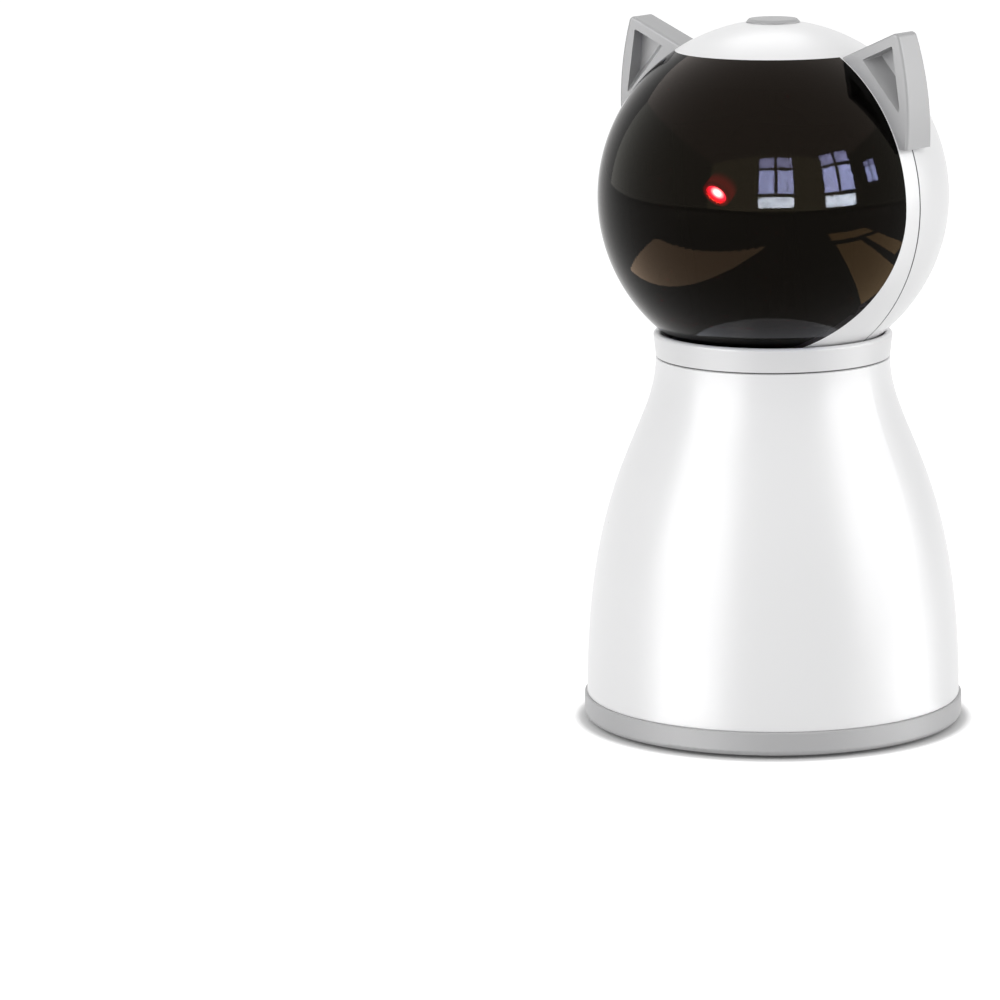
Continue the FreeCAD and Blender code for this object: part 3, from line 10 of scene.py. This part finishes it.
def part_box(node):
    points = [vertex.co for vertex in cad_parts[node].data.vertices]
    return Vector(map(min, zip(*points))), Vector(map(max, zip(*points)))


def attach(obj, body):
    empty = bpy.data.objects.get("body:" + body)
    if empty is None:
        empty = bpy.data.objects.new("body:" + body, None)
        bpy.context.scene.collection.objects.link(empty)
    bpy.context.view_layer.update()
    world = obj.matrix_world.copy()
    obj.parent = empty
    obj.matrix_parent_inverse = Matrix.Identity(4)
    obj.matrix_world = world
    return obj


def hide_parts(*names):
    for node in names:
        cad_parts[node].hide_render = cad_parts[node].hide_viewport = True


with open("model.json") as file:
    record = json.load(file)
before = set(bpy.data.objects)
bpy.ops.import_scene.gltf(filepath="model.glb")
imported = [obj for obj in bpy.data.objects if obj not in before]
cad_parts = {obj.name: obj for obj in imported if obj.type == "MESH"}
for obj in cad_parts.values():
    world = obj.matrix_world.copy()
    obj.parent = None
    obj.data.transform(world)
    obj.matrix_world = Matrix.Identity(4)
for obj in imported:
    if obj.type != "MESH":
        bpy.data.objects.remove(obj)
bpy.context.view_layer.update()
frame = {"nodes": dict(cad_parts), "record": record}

NODES = frame["nodes"]
NECK_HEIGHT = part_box("body_shell")[1].z
UP = Vector((0, 0, 1))
DOWN = Vector((0, 0, -1))

# ---- Camera: bearings turn from -Y towards +X, which is at 90 degrees ------------------------
CAMERA_BEARING = 38.113
CAMERA_RISE = 11.089
CAMERA_ROLL = -0.583
CAMERA_DISTANCE = 1.20285
# Point that it faces: reach from the toy's axis towards the picture's right, height over the floor
CAMERA_AIM_ACROSS = -0.06487
CAMERA_AIM_HEIGHT = 0.05310
CAMERA_LENS = 182.11
CAMERA_NEAREST = 0.01
CAMERA_FARTHEST = 20.0

# ---- Studio: a lamp's radiance is 1 where it looks as bright as the white backdrop -----------
FLOOR_RADIUS = 6.0
FLOOR_SEGMENTS = 96
FLOOR_WHITE = (0.80, 0.80, 0.80)
FLOOR_ROUGHNESS = 0.9
# Glow that makes up what the open floor lacks of the backdrop's white, where it is seen directly
FLOOR_LIFT = 0.55
# Distances from the toy's axis over which the floor's glow comes back: nearer, the floor's real shade is
# deepened by a painted shade under the rim; farther, open floor begins
SHADE_START = 0.0453
SHADE_END = 0.0484
BACKDROP = 1.0
AMBIENT = 0.60
# Lamps round the toy: height that they face, distance from there
AIM_HEIGHT = 0.09
LAMP_DISTANCE = 1.6
# name, turn from the camera's bearing and rise in degrees, width and height in metres, radiance
SOFT_BOXES = (("left_box", -62, 28, 1.1, 1.3, 1.85), ("right_box", 60, 28, 1.1, 1.3, 1.55),
              ("top_box", 0, 80, 1.0, 1.0, 0.4))
GLOSS_STRIPS = (("left_strip", -57, 1, 1.55, 2.3, 5.0), ("right_strip", 80, 1, 1.75, 2.3, 5.0),
                ("rear_strip", 180, 52, 0.7, 0.6, 2.6))
# Strips on the floor that widen away from the body: name, turns from the camera's bearing of the place
# where one starts on the body's rim and of the way that it runs, radiance
FLOOR_STRIPS = (("left_floor_strip", -30, -60, 4.5), ("right_floor_strip", 45, 90, 3.5))
STRIP_START = 0.046
# Each step of such a strip: nearest and farthest reach from its start, width
STRIP_STEPS = ((0.02, 0.06, 0.04), (0.06, 0.12, 0.08), (0.12, 0.20, 0.125), (0.20, 0.45, 0.24))
# Height of lamps that lie on the floor
FLOOR_GAP = 0.0015

# ---- Room that the dark face mirrors ---------------------------------------------------------
# Height of the head's middle over the floor
HEAD_HEIGHT = 0.125
WINDOW_DISTANCE = 2.5
# name, bearing, half width, lowest and highest rise in degrees, share of the strip under the panes, daylight
WINDOWS = (("near_window", 37.0, 12.5, -1.4, 32.5, 0.24, 1.0),
           ("far_window", 79.5, 11.5, -2.0, 32.0, 0.24, 1.2),
           ("side_window", 104.5, 4.5, 10.0, 22.0, 0.0, 0.9))
# Shares of a window's height: bars between its panes, its two top panes
FRAME_BAR = 0.06
TOP_PANE_SHARE = 0.27
PANE_STRIP = (86.0, 106.0, 147.0)
PANE_TALL = (37.0, 45.0, 94.0)
PANE_TOP = (20.0, 23.0, 49.0)
WALL_DISTANCE = 2.6
# How far the foot of the walls is under the head's middle, and the ceiling over it
ROOM_FLOOR_DROP = 1.0
CEILING_RISE = 1.7
ROOM_BEARING = 37
# Plain walls: name, turn from the room's bearing, radiance
WALLS = (("window_wall", 0, (2.5, 2.35, 1.75)), ("right_wall", 90, (0.6, 0.6, 0.5)),
         ("left_wall", 270, (1.0, 1.0, 0.9)))
CEILING = (1.5, 1.3, 1.2)
SUN_BEARING = 238.5
# Sunlit patches of the floor: name, reach along the sun's bearing, reach across it
SUN_PATCHES = (("pane_near", (-0.285, -0.050), (0.088, 0.195)),
               ("pane_far", (-0.290, -0.105), (0.230, 0.312)),
               ("panes_top", (-0.410, -0.325), (0.083, 0.310)))
SUN_PATCH_GLOW = (5.0, 3.3, 1.6)
# The patch on the other side narrows: reach along at its inner and at its outer side, reach across
SLANTED_PATCH = ((-0.26, 0.20), (0.07, 0.10), (-0.135, -0.345))
SLANTED_STRIPS = 14
SLANTED_PATCH_GLOW = (4.2, 2.9, 1.9)
# Pale shoulder of the body, mirrored at the foot of the dark face: bearing and reach of its middle, radius,
# drop from the neck's seam, radiance
SHOULDER_BEARING = 33.7
SHOULDER_REACH = 0.0144
SHOULDER_RADIUS = 0.022
SHOULDER_DROP = 0.0006
SHOULDER_GLOW = (2.3, 2.5, 2.9)

# ---- White shells and their seams ------------------------------------------------------------
SHELL_WHITE = (0.84, 0.84, 0.845)
# A darker copy of the shell's white for the collar: painted shade under the overhanging head
COLLAR_SHADED_WHITE = (0.76, 0.76, 0.765)
SHELL_ROUGHNESS = 0.30
SHELL_IOR = 1.46
HEAD_SEAM_Y = 0.0
# Half widths of the two grooves, and the width over which their painted shade fades
HEAD_SEAM_HALF = 0.00021
COLLAR_SEAM_HALF = 0.00034
SEAM_EDGE = 0.00004
# Painted shade in the grooves of the head's seam and of the collar's seam
HEAD_SEAM_SHADE = (0.27, 0.27, 0.275)
COLLAR_SEAM_SHADE = (0.10, 0.10, 0.102)

# ---- Dark cover ------------------------------------------------------------------------------
SMOKE_TINTS = ((0.0080, 0.0060, 0.0050), (0.0088, 0.0066, 0.0055))
SMOKE_HAZE = 0.012
SMOKE_ROUGHNESS = (0.015, 0.03)
# Low, so that the white studio doesn't wash the dark face out
SMOKE_IOR = 1.15
SMOKE_GLOSS_TINT = (1.0, 0.87, 0.72)
# How far a corner may lie off its ball, and the least cosine between a curved face's normal and the ball's
SPHERE_SLACK = 0.00003
CURVED_FACING = 0.9
# How much thinner the drawn cover is, so that the facets of the white ledge behind it stay out of it
COVER_THINNING = 0.00012

# ---- Laser -----------------------------------------------------------------------------------
LENS_TINTS = ((0.8, 0.03, 0.05), (0.9, 0.05, 0.07))
LENS_CLOUD = 0.001
LENS_ROUGHNESS = 0.1
LENS_REACH = 0.0028
LENS_STOPS = ((0.0, (0.25, 0.002, 0.008)), (0.30, (0.85, 0.012, 0.05)), (0.50, (1.0, 0.35, 0.42)),
              (0.62, (1.0, 0.85, 0.88)))
LENS_POWER = 270.0
# Painted glow on the barrel's mouth that stands for the lens's light on it: where it starts and ends, from
# the lens's middle, how steeply it fades, and its colour
BARREL_GLOW_START = 0.0026
BARREL_GLOW_END = 0.0050
BARREL_GLOW_FADE = 3.0
BARREL_GLOW = (0.10, 0.001, 0.004)
UNLIT = (0.0, 0.0, 0.0)

# ---- Moulded plastic and plain metal ---------------------------------------------------------
POLISH_SPREAD = 0.15
# name: colour, roughness and whatever else differs from plain moulded plastic
FINISHES = {
    "grey_trim": ((0.42, 0.42, 0.425), 0.42, dict(drift=0.015, grain=0.0003, depth=3e-6)),
    # A darker copy of grey_trim for the ears and the button up top: painted shade against the stronger light
    # from above
    "shaded_upper_grey": ((0.385, 0.385, 0.39), 0.42, dict(drift=0.015, grain=0.0003, depth=3e-6)),
    "foot_rubber": ((0.035, 0.035, 0.037), 0.75, dict(drift=0.12, grain=0.0005, depth=2e-5)),
    "chassis_plastic": ((0.028, 0.028, 0.030), 0.45, dict(drift=0.10)),
    "gear_nylon": ((0.74, 0.71, 0.62), 0.38, dict(drift=0.03)),
    "circuit_board": ((0.012, 0.10, 0.035), 0.32, dict(drift=0.15, cloud=0.003)),
    "component_black": ((0.018, 0.018, 0.019), 0.40, dict(drift=0.10)),
    "cell_wrap": ((0.012, 0.075, 0.26), 0.28, dict(drift=0.05)),
    "strap_plastic": ((0.045, 0.045, 0.048), 0.50, dict(drift=0.08)),
    "wire_jacket": ((0.020, 0.020, 0.021), 0.50, dict(drift=0.10)),
    "bearing_brass": ((0.66, 0.44, 0.16), 0.28, dict(drift=0.06, metallic=1.0)),
    "socket_steel": ((0.62, 0.62, 0.64), 0.24, dict(drift=0.05, metallic=1.0)),
    "shaft_steel": ((0.52, 0.52, 0.54), 0.30, dict(drift=0.05, metallic=1.0)),
    "screw_steel": ((0.50, 0.50, 0.52), 0.34, dict(drift=0.06, metallic=1.0)),
}


# ---- Helpers ---------------------------------------------------------------------------------
def bearing_vector(bearing, rise):
    """Unit vector that points from the toy towards a bearing and a rise over the horizon."""
    b = math.radians(bearing)
    r = math.radians(rise)
    return Vector((math.sin(b) * math.cos(r), -math.cos(b) * math.cos(r), math.sin(r)))


def link(obj):
    """Puts a new object into the scene."""
    bpy.context.scene.collection.objects.link(obj)
    return obj


class Shader:
    """A material's node tree with a Principled surface and short calls for the nodes that it needs."""

    # Places of a colour Mix node's factor and two colours among its inputs, and of its outcome
    MIX_INPUTS = (0, 6, 7)
    MIX_OUTPUT = 2

    def __init__(self, name):
        self.material = bpy.data.materials.new(name)
        self.material.use_nodes = True
        self.tree = self.material.node_tree
        self.surface = self.tree.nodes["Principled BSDF"]
        self.place = self.tree.nodes.new("ShaderNodeTexCoord").outputs["Object"]

    def node(self, kind, **inputs):
        """New node of a kind. An input's name has _ for each space."""
        made = self.tree.nodes.new("ShaderNode" + kind)
        for name, value in inputs.items():
            self.feed(made.inputs[name.replace("_", " ")], value)
        return made

    def feed(self, socket, value):
        """Gives a socket another node's outcome, or a number, vector or colour of its own."""
        if isinstance(value, bpy.types.NodeSocket):
            self.tree.links.new(value, socket)
        elif socket.type == "RGBA":
            socket.default_value = (*value, 1.0)
        else:
            socket.default_value = value

    def noise(self, size, detail=3.0):
        """Noise whose features are about size metres across."""
        return self.node("TexNoise", Vector=self.place, Scale=1.0 / size, Detail=detail).outputs["Fac"]

    def between(self, value, low, high, start=0.0, end=1.0):
        """Value that goes from low to high as another goes from start to end."""
        ranged = self.node("MapRange", Value=value, From_Min=start, From_Max=end, To_Min=low, To_Max=high)
        return ranged.outputs["Result"]

    def tint(self, factor, first, second):
        """Colour that goes from first to second as a factor goes from 0 to 1."""
        mix = self.tree.nodes.new("ShaderNodeMix")
        mix.data_type = "RGBA"
        for place, value in zip(self.MIX_INPUTS, (factor, first, second)):
            self.feed(mix.inputs[place], value)
        return mix.outputs[self.MIX_OUTPUT]

    def distance(self, point):
        """Distance from a point of the part's own frame."""
        away = self.tree.nodes.new("ShaderNodeVectorMath")
        away.operation = "DISTANCE"
        self.feed(away.inputs[0], self.place)
        self.feed(away.inputs[1], point)
        return away.outputs["Value"]

    def level(self, axis, middle):
        """Distance from a plane across one axis of the part's own frame."""
        along = self.node("SeparateXYZ", Vector=self.place).outputs[axis]
        return self.math("ABSOLUTE", self.math("SUBTRACT", along, middle))

    def math(self, operation, *values):
        """Outcome of a Math node's operation on one or two values."""
        made = self.tree.nodes.new("ShaderNodeMath")
        made.operation = operation
        for socket, value in zip(made.inputs, values):
            self.feed(socket, value)
        return made.outputs[0]

    def ramp(self, factor, stops):
        """Colour from a row of places from 0 to 1, each with its colour."""
        made = self.node("ValToRGB", Fac=factor)
        band = made.color_ramp.elements
        while len(band) < len(stops):
            band.new(1.0)
        for element, (place, colour) in zip(band, stops):
            element.position = place
            element.color = (*colour, 1.0)
        return made.outputs["Color"]

    def bump(self, height, depth):
        """Surface direction for a relief of some depth in metres."""
        return self.node("Bump", Height=height, Distance=depth).outputs["Normal"]

    def set(self, **inputs):
        """Feeds the surface's own inputs. An input's name has _ for each space."""
        for name, value in inputs.items():
            self.feed(self.surface.inputs[name.replace("_", " ")], value)


def scaled(colour, share):
    return tuple(min(1.0, c * share) for c in colour)


# ---- Materials: each function gives a Shader -------------------------------------------------
def moulded(name, colour, roughness, drift=0.03, cloud=0.02, grain=0.0004, depth=4e-6, metallic=0.0):
    """Moulded plastic or plain metal: tone that drifts by a share over clouds of some size, uneven polish
    and a skin with grains of some size and depth. Its colour stays at hand in s.colour."""
    s = Shader(name)
    clouds = s.noise(cloud)
    skin = s.noise(grain, detail=2.0)
    s.colour = s.tint(clouds, scaled(colour, 1 - drift), scaled(colour, 1 + drift))
    polish = s.between(skin, roughness * (1 - POLISH_SPREAD), roughness * (1 + POLISH_SPREAD))
    s.set(Base_Color=s.colour, Roughness=polish, Normal=s.bump(skin, depth), Metallic=metallic)
    return s


def plain_finish(name, row):
    """Finish of one row of the table of plain ones."""
    colour, roughness, rest = FINISHES[row]
    return moulded(name, colour, roughness, **rest)


def white_shell(name="white_shell", colour=SHELL_WHITE):
    """Glossy white shell, all but even in tone."""
    s = moulded(name, colour, SHELL_ROUGHNESS, drift=0.006, cloud=0.03, grain=0.0012, depth=1.5e-6)
    s.set(IOR=SHELL_IOR)
    return s


def seamed_white(name, axis, middle, half, shade, colour=SHELL_WHITE):
    """White shell with painted shade in the groove that lies half a width to each side of a plane."""
    s = white_shell(name, colour)
    inside = s.between(s.level(axis, middle), 1.0, 0.0, start=half, end=half + SEAM_EDGE)
    s.set(Base_Color=s.tint(inside, s.colour, shade))
    return s


def smoked_plastic():
    """Dark, clear and polished, with a faint haze."""
    s = Shader("smoked_plastic")
    haze = s.noise(SMOKE_HAZE)
    s.set(Base_Color=s.tint(haze, *SMOKE_TINTS), Roughness=s.between(haze, *SMOKE_ROUGHNESS),
          IOR=SMOKE_IOR, Transmission_Weight=1.0, Specular_Tint=SMOKE_GLOSS_TINT)
    return s


def lens_glow(s, start, end):
    """1 up to one distance from the middle of the laser's lens, 0 from another on."""
    low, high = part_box("laser_lens")
    return s.between(s.distance((low + high) / 2), 1.0, 0.0, start=start, end=end)


def laser_lens():
    """Lit lens, hot in its middle."""
    s = Shader("laser_lens")
    s.set(Base_Color=s.tint(s.noise(LENS_CLOUD), *LENS_TINTS), Roughness=LENS_ROUGHNESS,
          Emission_Color=s.ramp(lens_glow(s, 0.0, LENS_REACH), LENS_STOPS), Emission_Strength=LENS_POWER)
    return s


def glow_painted_barrel():
    """Brass barrel with a painted glow at its mouth that stands for the lens's light on it."""
    s = plain_finish("glow_painted_barrel", "bearing_brass")
    fade = s.math("POWER", lens_glow(s, BARREL_GLOW_START, BARREL_GLOW_END), BARREL_GLOW_FADE)
    s.set(Emission_Color=s.tint(fade, UNLIT, BARREL_GLOW), Emission_Strength=LENS_POWER)
    return s


OWN_FINISHES = {"white_shell": white_shell, "smoked_plastic": smoked_plastic, "laser_lens": laser_lens}


def finish_of_slot(slot):
    return OWN_FINISHES[slot]() if slot in OWN_FINISHES else plain_finish(slot, slot)


def wear(node, finish):
    """Gives one node of the frame a finish."""
    mesh = NODES[node].data
    mesh.materials.clear()
    mesh.materials.append(finish.material)


def dress_nodes():
    """Gives each node its slot's finish, and then the few that differ from their slot one of their own."""
    finishes = {}
    for subpart in frame["record"]["subparts"]:
        slot = subpart["material_slot"]
        if slot not in finishes:
            finishes[slot] = finish_of_slot(slot)
        wear(subpart["node"], finishes[slot])
    # Painted shade in the grooves of the head's seam and of the collar's seam
    head_white = seamed_white("head_white", "Y", HEAD_SEAM_Y, HEAD_SEAM_HALF, HEAD_SEAM_SHADE)
    # The collar in the darker copy of the white: painted shade under the head
    collar_white = seamed_white("collar_white", "Z", NECK_HEIGHT, COLLAR_SEAM_HALF, COLLAR_SEAM_SHADE,
                                COLLAR_SHADED_WHITE)
    wear("head_front_frame", head_white)
    wear("head_rear_shell", head_white)
    wear("collar_ring", collar_white)
    # The barrel with a painted glow at its mouth
    wear("laser_barrel", glow_painted_barrel())
    # The ears and the button in the darker copy of the grey: painted shade
    shaded_upper_grey = plain_finish("shaded_upper_grey", "shaded_upper_grey")
    for node in ("left_ear", "right_ear", "power_button"):
        wear(node, shaded_upper_grey)


# ---- Dark face -------------------------------------------------------------------------------
def head_sphere():
    """Middle and radius of the head's ball, from the lowest and the highest edge of the dark cover."""
    corners = [corner.co for corner in NODES["smoked_cover"].data.vertices]
    low, high = (bound.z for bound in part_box("smoked_cover"))
    reach = [max(c.x ** 2 + c.y ** 2 for c in corners if abs(c.z - level) < SPHERE_SLACK)
             for level in (low, high)]
    middle = (reach[1] - reach[0] + high ** 2 - low ** 2) / (2 * (high - low))
    return Vector((0, 0, middle)), math.sqrt(reach[1] + (high - middle) ** 2)


def ball_normals(mesh, middle, outer, inner):
    """Normal of each face's each corner: along the ball's radius on its two skins, and flat elsewhere."""
    normals = []
    for face in mesh.polygons:
        on_outer = outer.issuperset(face.vertices)
        on_inner = inner.issuperset(face.vertices)
        for corner in face.vertices:
            out = (mesh.vertices[corner].co - middle).normalized()
            along = face.normal.dot(out)
            curved = (on_outer and along > CURVED_FACING) or (on_inner and along < -CURVED_FACING)
            normals.append(out * math.copysign(1.0, along) if curved else face.normal.copy())
    return normals


def smoked_dome():
    """The dark cover, thinned from inside, with skins shaded as true balls so that lines mirror cleanly."""
    middle, radius = head_sphere()
    mesh = NODES["smoked_cover"].data.copy()
    mesh.name = "smoked_dome"
    reach = [(corner.co - middle).length for corner in mesh.vertices]
    inner_radius = min(reach)
    outer = {index for index, length in enumerate(reach) if abs(length - radius) < SPHERE_SLACK}
    inner = {index for index, length in enumerate(reach) if length - inner_radius < SPHERE_SLACK}
    for index in inner:
        corner = mesh.vertices[index]
        corner.co += (corner.co - middle).normalized() * COVER_THINNING
    mesh.normals_split_custom_set(ball_normals(mesh, middle, outer, inner))
    dome = link(bpy.data.objects.new("smoked_dome", mesh))
    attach(dome, "head")
    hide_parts("smoked_cover")
    return dome


# ---- Backdrop and floor ----------------------------------------------------------------------
def seen_directly(tree):
    """1 for the rays that the camera sees straight, in gloss or through clear plastic, else 0."""
    path = tree.nodes.new("ShaderNodeLightPath")
    total = path.outputs["Is Camera Ray"]
    for name in ("Is Glossy Ray", "Is Transmission Ray"):
        either = tree.nodes.new("ShaderNodeMath")
        either.operation = "MAXIMUM"
        tree.links.new(total, either.inputs[0])
        tree.links.new(path.outputs[name], either.inputs[1])
        total = either.outputs[0]
    return total


def white_glow(tree, strength):
    """Even white light of a world."""
    made = tree.nodes.new("ShaderNodeBackground")
    made.inputs["Color"].default_value = (1.0, 1.0, 1.0, 1.0)
    made.inputs["Strength"].default_value = strength
    return made.outputs[0]


def make_world():
    """White backdrop where it is seen directly, and a dimmer even light on the toy."""
    world = bpy.data.worlds.new("studio")
    bpy.context.scene.world = world
    world.use_nodes = True
    tree = world.node_tree
    tree.nodes.clear()
    mix = tree.nodes.new("ShaderNodeMixShader")
    out = tree.nodes.new("ShaderNodeOutputWorld")
    tree.links.new(seen_directly(tree), mix.inputs[0])
    tree.links.new(white_glow(tree, AMBIENT), mix.inputs[1])
    tree.links.new(white_glow(tree, BACKDROP), mix.inputs[2])
    tree.links.new(mix.outputs[0], out.inputs[0])


def floor_white():
    """White floor, as bright as the backdrop where it is seen directly, but round the toy, where its glow is
    taken away as a painted shade over the real one.
    """
    s = Shader("floor_white")
    open_floor = s.node("MapRange", Value=s.distance((0, 0, 0)), From_Min=SHADE_START, From_Max=SHADE_END,
                        To_Max=FLOOR_LIFT)
    open_floor.interpolation_type = "SMOOTHSTEP"
    lift = s.math("MULTIPLY", seen_directly(s.tree), open_floor.outputs["Result"])
    s.set(Base_Color=FLOOR_WHITE, Roughness=FLOOR_ROUGHNESS, Specular_IOR_Level=0.0,
          Emission_Color=(1.0, 1.0, 1.0), Emission_Strength=lift)
    return s


def make_floor():
    """Flat round floor."""
    turns = [2 * math.pi * i / FLOOR_SEGMENTS for i in range(FLOOR_SEGMENTS)]
    rim = [(FLOOR_RADIUS * math.cos(turn), FLOOR_RADIUS * math.sin(turn), 0.0) for turn in turns]
    mesh = bpy.data.meshes.new("floor")
    mesh.from_pydata(rim, [], [list(range(FLOOR_SEGMENTS))])
    mesh.materials.append(floor_white().material)
    floor = link(bpy.data.objects.new("floor", mesh))
    return floor


# ---- Lamps -----------------------------------------------------------------------------------
def group_of(name, objects):
    """Collection for light linking."""
    group = bpy.data.collections.new(name)
    for obj in objects:
        group.objects.link(obj)
    return group


def lamp(name, place, across, back, width, height, radiance, shape="RECTANGLE"):
    """Flat lamp. across: direction of its width, back: direction away from what it lights."""
    strength = max(radiance)
    data = bpy.data.lights.new(name, "AREA")
    data.shape = shape
    data.size = width
    data.size_y = height
    area = width * height * (math.pi / 4 if shape == "ELLIPSE" else 1.0)
    data.energy = strength * math.pi * area
    data.color = [share / strength for share in radiance]
    box = link(bpy.data.objects.new(name, data))
    box.location = place
    box.rotation_mode = "QUATERNION"
    box.rotation_quaternion = Matrix((across, back.cross(across), back)).transposed().to_quaternion()
    box.visible_camera = False
    box.visible_transmission = False
    return box


def gloss_only(box, receivers, blockers):
    """Keeps a lamp to what some objects mirror of it."""
    box.visible_diffuse = False
    box.light_linking.receiver_collection = receivers
    box.light_linking.blocker_collection = blockers


def standing_lamp(name, turn, rise, width, height, level):
    """Lamp round the toy, turned from the camera's bearing, that faces the toy's middle."""
    bearing = CAMERA_BEARING + turn
    back = bearing_vector(bearing, rise)
    place = UP * AIM_HEIGHT + back * LAMP_DISTANCE
    return lamp(name, place, bearing_vector(bearing + 90, 0), back, width, height, (level, level, level))


def floor_lamp(name, start, along, across, reach, side, radiance):
    """Rectangular lamp on the floor, facing up, between two reaches along one way and two across it."""
    place = start + along * sum(reach) / 2 + across * sum(side) / 2 + UP * FLOOR_GAP
    width, height = (abs(last - first) for first, last in (reach, side))
    return lamp(name, place, along, DOWN, width, height, radiance)


def floor_strip(name, start_turn, run_turn, level):
    """Row of floor lamps that widens away from the body."""
    start = bearing_vector(CAMERA_BEARING + start_turn, 0) * STRIP_START
    along = bearing_vector(CAMERA_BEARING + run_turn, 0)
    across = bearing_vector(CAMERA_BEARING + run_turn + 90, 0)
    return [floor_lamp(f"{name}_{near}", start, along, across, (near, far), (-width / 2, width / 2),
                       (level, level, level)) for near, far, width in STRIP_STEPS]


def wall_lamps():
    """Faint even light of the ceiling and three walls of the room."""
    reach = 2 * WALL_DISTANCE
    height = ROOM_FLOOR_DROP + CEILING_RISE
    boxes = [lamp("ceiling", UP * (HEAD_HEIGHT + CEILING_RISE), bearing_vector(ROOM_BEARING + 90, 0), UP,
                  reach, reach, CEILING)]
    for name, turn, radiance in WALLS:
        back = bearing_vector(ROOM_BEARING + turn, 0)
        across = bearing_vector(ROOM_BEARING + turn + 90, 0)
        place = back * WALL_DISTANCE + UP * (HEAD_HEIGHT - ROOM_FLOOR_DROP + height / 2)
        boxes.append(lamp(name, place, across, back, reach, height, radiance))
    return boxes


def window_panes(strip):
    """Two small panes over two tall ones, over one pale strip if the window has one. Each has its kind and
    side, its lowest and highest share of the window's height, its width in half windows and its radiance."""
    tall_end = 1 - TOP_PANE_SHARE
    panes = [("strip", 0, 0.0, strip, 2.0, PANE_STRIP)] if strip else []
    for side in (-1, 1):
        panes.append(("tall", side, strip, tall_end, 1.0, PANE_TALL))
        panes.append(("top", side, tall_end, 1.0, 1.0, PANE_TOP))
    return panes


def window_lamps():
    """One lamp for each pane of the room's windows."""
    boxes = []
    for name, bearing, half_width, low, high, strip, daylight in WINDOWS:
        back = bearing_vector(bearing, 0)
        across = bearing_vector(bearing + 90, 0)
        reach = WINDOW_DISTANCE * math.tan(math.radians(half_width))
        foot = HEAD_HEIGHT + WINDOW_DISTANCE * math.tan(math.radians(low))
        height = HEAD_HEIGHT + WINDOW_DISTANCE * math.tan(math.radians(high)) - foot
        bar = FRAME_BAR * height
        for kind, side, start, end, halves, colour in window_panes(strip):
            place = back * WINDOW_DISTANCE + across * (side * reach / 2)
            place.z = foot + height * (start + end) / 2
            boxes.append(lamp(f"{name}_{kind}_{side}", place, across, back, reach * halves - bar,
                              height * (end - start) - bar, [part * daylight for part in colour]))
    return boxes


def patch_lamps():
    """Sunlight through the windows on the floor round the toy."""
    along = bearing_vector(SUN_BEARING, 0)
    across = bearing_vector(SUN_BEARING - 90, 0)
    middle = Vector((0, 0, 0))
    boxes = [floor_lamp(name, middle, along, across, reach, side, SUN_PATCH_GLOW)
             for name, reach, side in SUN_PATCHES]
    inner, outer, sides = SLANTED_PATCH
    step = (sides[1] - sides[0]) / SLANTED_STRIPS
    for i in range(SLANTED_STRIPS):
        share = (i + 0.5) / SLANTED_STRIPS
        reach = [first + (last - first) * share for first, last in zip(inner, outer)]
        side = (sides[0] + step * i, sides[0] + step * (i + 1))
        boxes.append(floor_lamp(f"slanted_{i}", middle, along, across, reach, side, SLANTED_PATCH_GLOW))
    return boxes


def shoulder_lamp():
    """Pale disc that stands for the lit shoulder of the body in the dark face."""
    across = bearing_vector(SHOULDER_BEARING, 0)
    place = across * SHOULDER_REACH + UP * (NECK_HEIGHT - SHOULDER_DROP)
    width = 2 * SHOULDER_RADIUS
    return lamp("shoulder", place, across, DOWN, width, width, SHOULDER_GLOW, "ELLIPSE")


def make_lamps(floor, dome):
    """Even light from both sides and above, strips that only gloss mirrors, and the mirrored room."""
    shells = [node for name, node in NODES.items() if name != "smoked_cover"]
    toy = group_of("toy", shells + [dome])
    whites = group_of("whites", shells)
    body = group_of("body_only", [NODES["body_shell"]])
    lit = group_of("softly_lit", shells + [floor])
    face = group_of("dark_face", [dome])
    for numbers in SOFT_BOXES:
        standing_lamp(*numbers).light_linking.receiver_collection = lit
    for numbers in GLOSS_STRIPS:
        gloss_only(standing_lamp(*numbers), whites, toy)
    for numbers in FLOOR_STRIPS:
        for box in floor_strip(*numbers):
            gloss_only(box, body, toy)
    for box in wall_lamps() + window_lamps() + patch_lamps() + [shoulder_lamp()]:
        gloss_only(box, face, toy)


# ---- Camera ----------------------------------------------------------------------------------
def make_camera():
    """Camera at the photograph's angle."""
    data = bpy.data.cameras.new("camera")
    data.lens = CAMERA_LENS
    data.clip_start = CAMERA_NEAREST
    data.clip_end = CAMERA_FARTHEST
    camera = link(bpy.data.objects.new("camera", data))
    back = bearing_vector(CAMERA_BEARING, CAMERA_RISE)
    across = bearing_vector(CAMERA_BEARING + 90, 0)
    camera.location = across * CAMERA_AIM_ACROSS + UP * CAMERA_AIM_HEIGHT + back * CAMERA_DISTANCE
    camera.rotation_mode = "QUATERNION"
    roll = Quaternion((0, 0, 1), math.radians(CAMERA_ROLL))
    camera.rotation_quaternion = back.to_track_quat("Z", "Y") @ roll
    bpy.context.scene.camera = camera


dress_nodes()
make_world()
make_lamps(make_floor(), smoked_dome())
make_camera()
bpy.context.scene.view_settings.view_transform = "Standard"
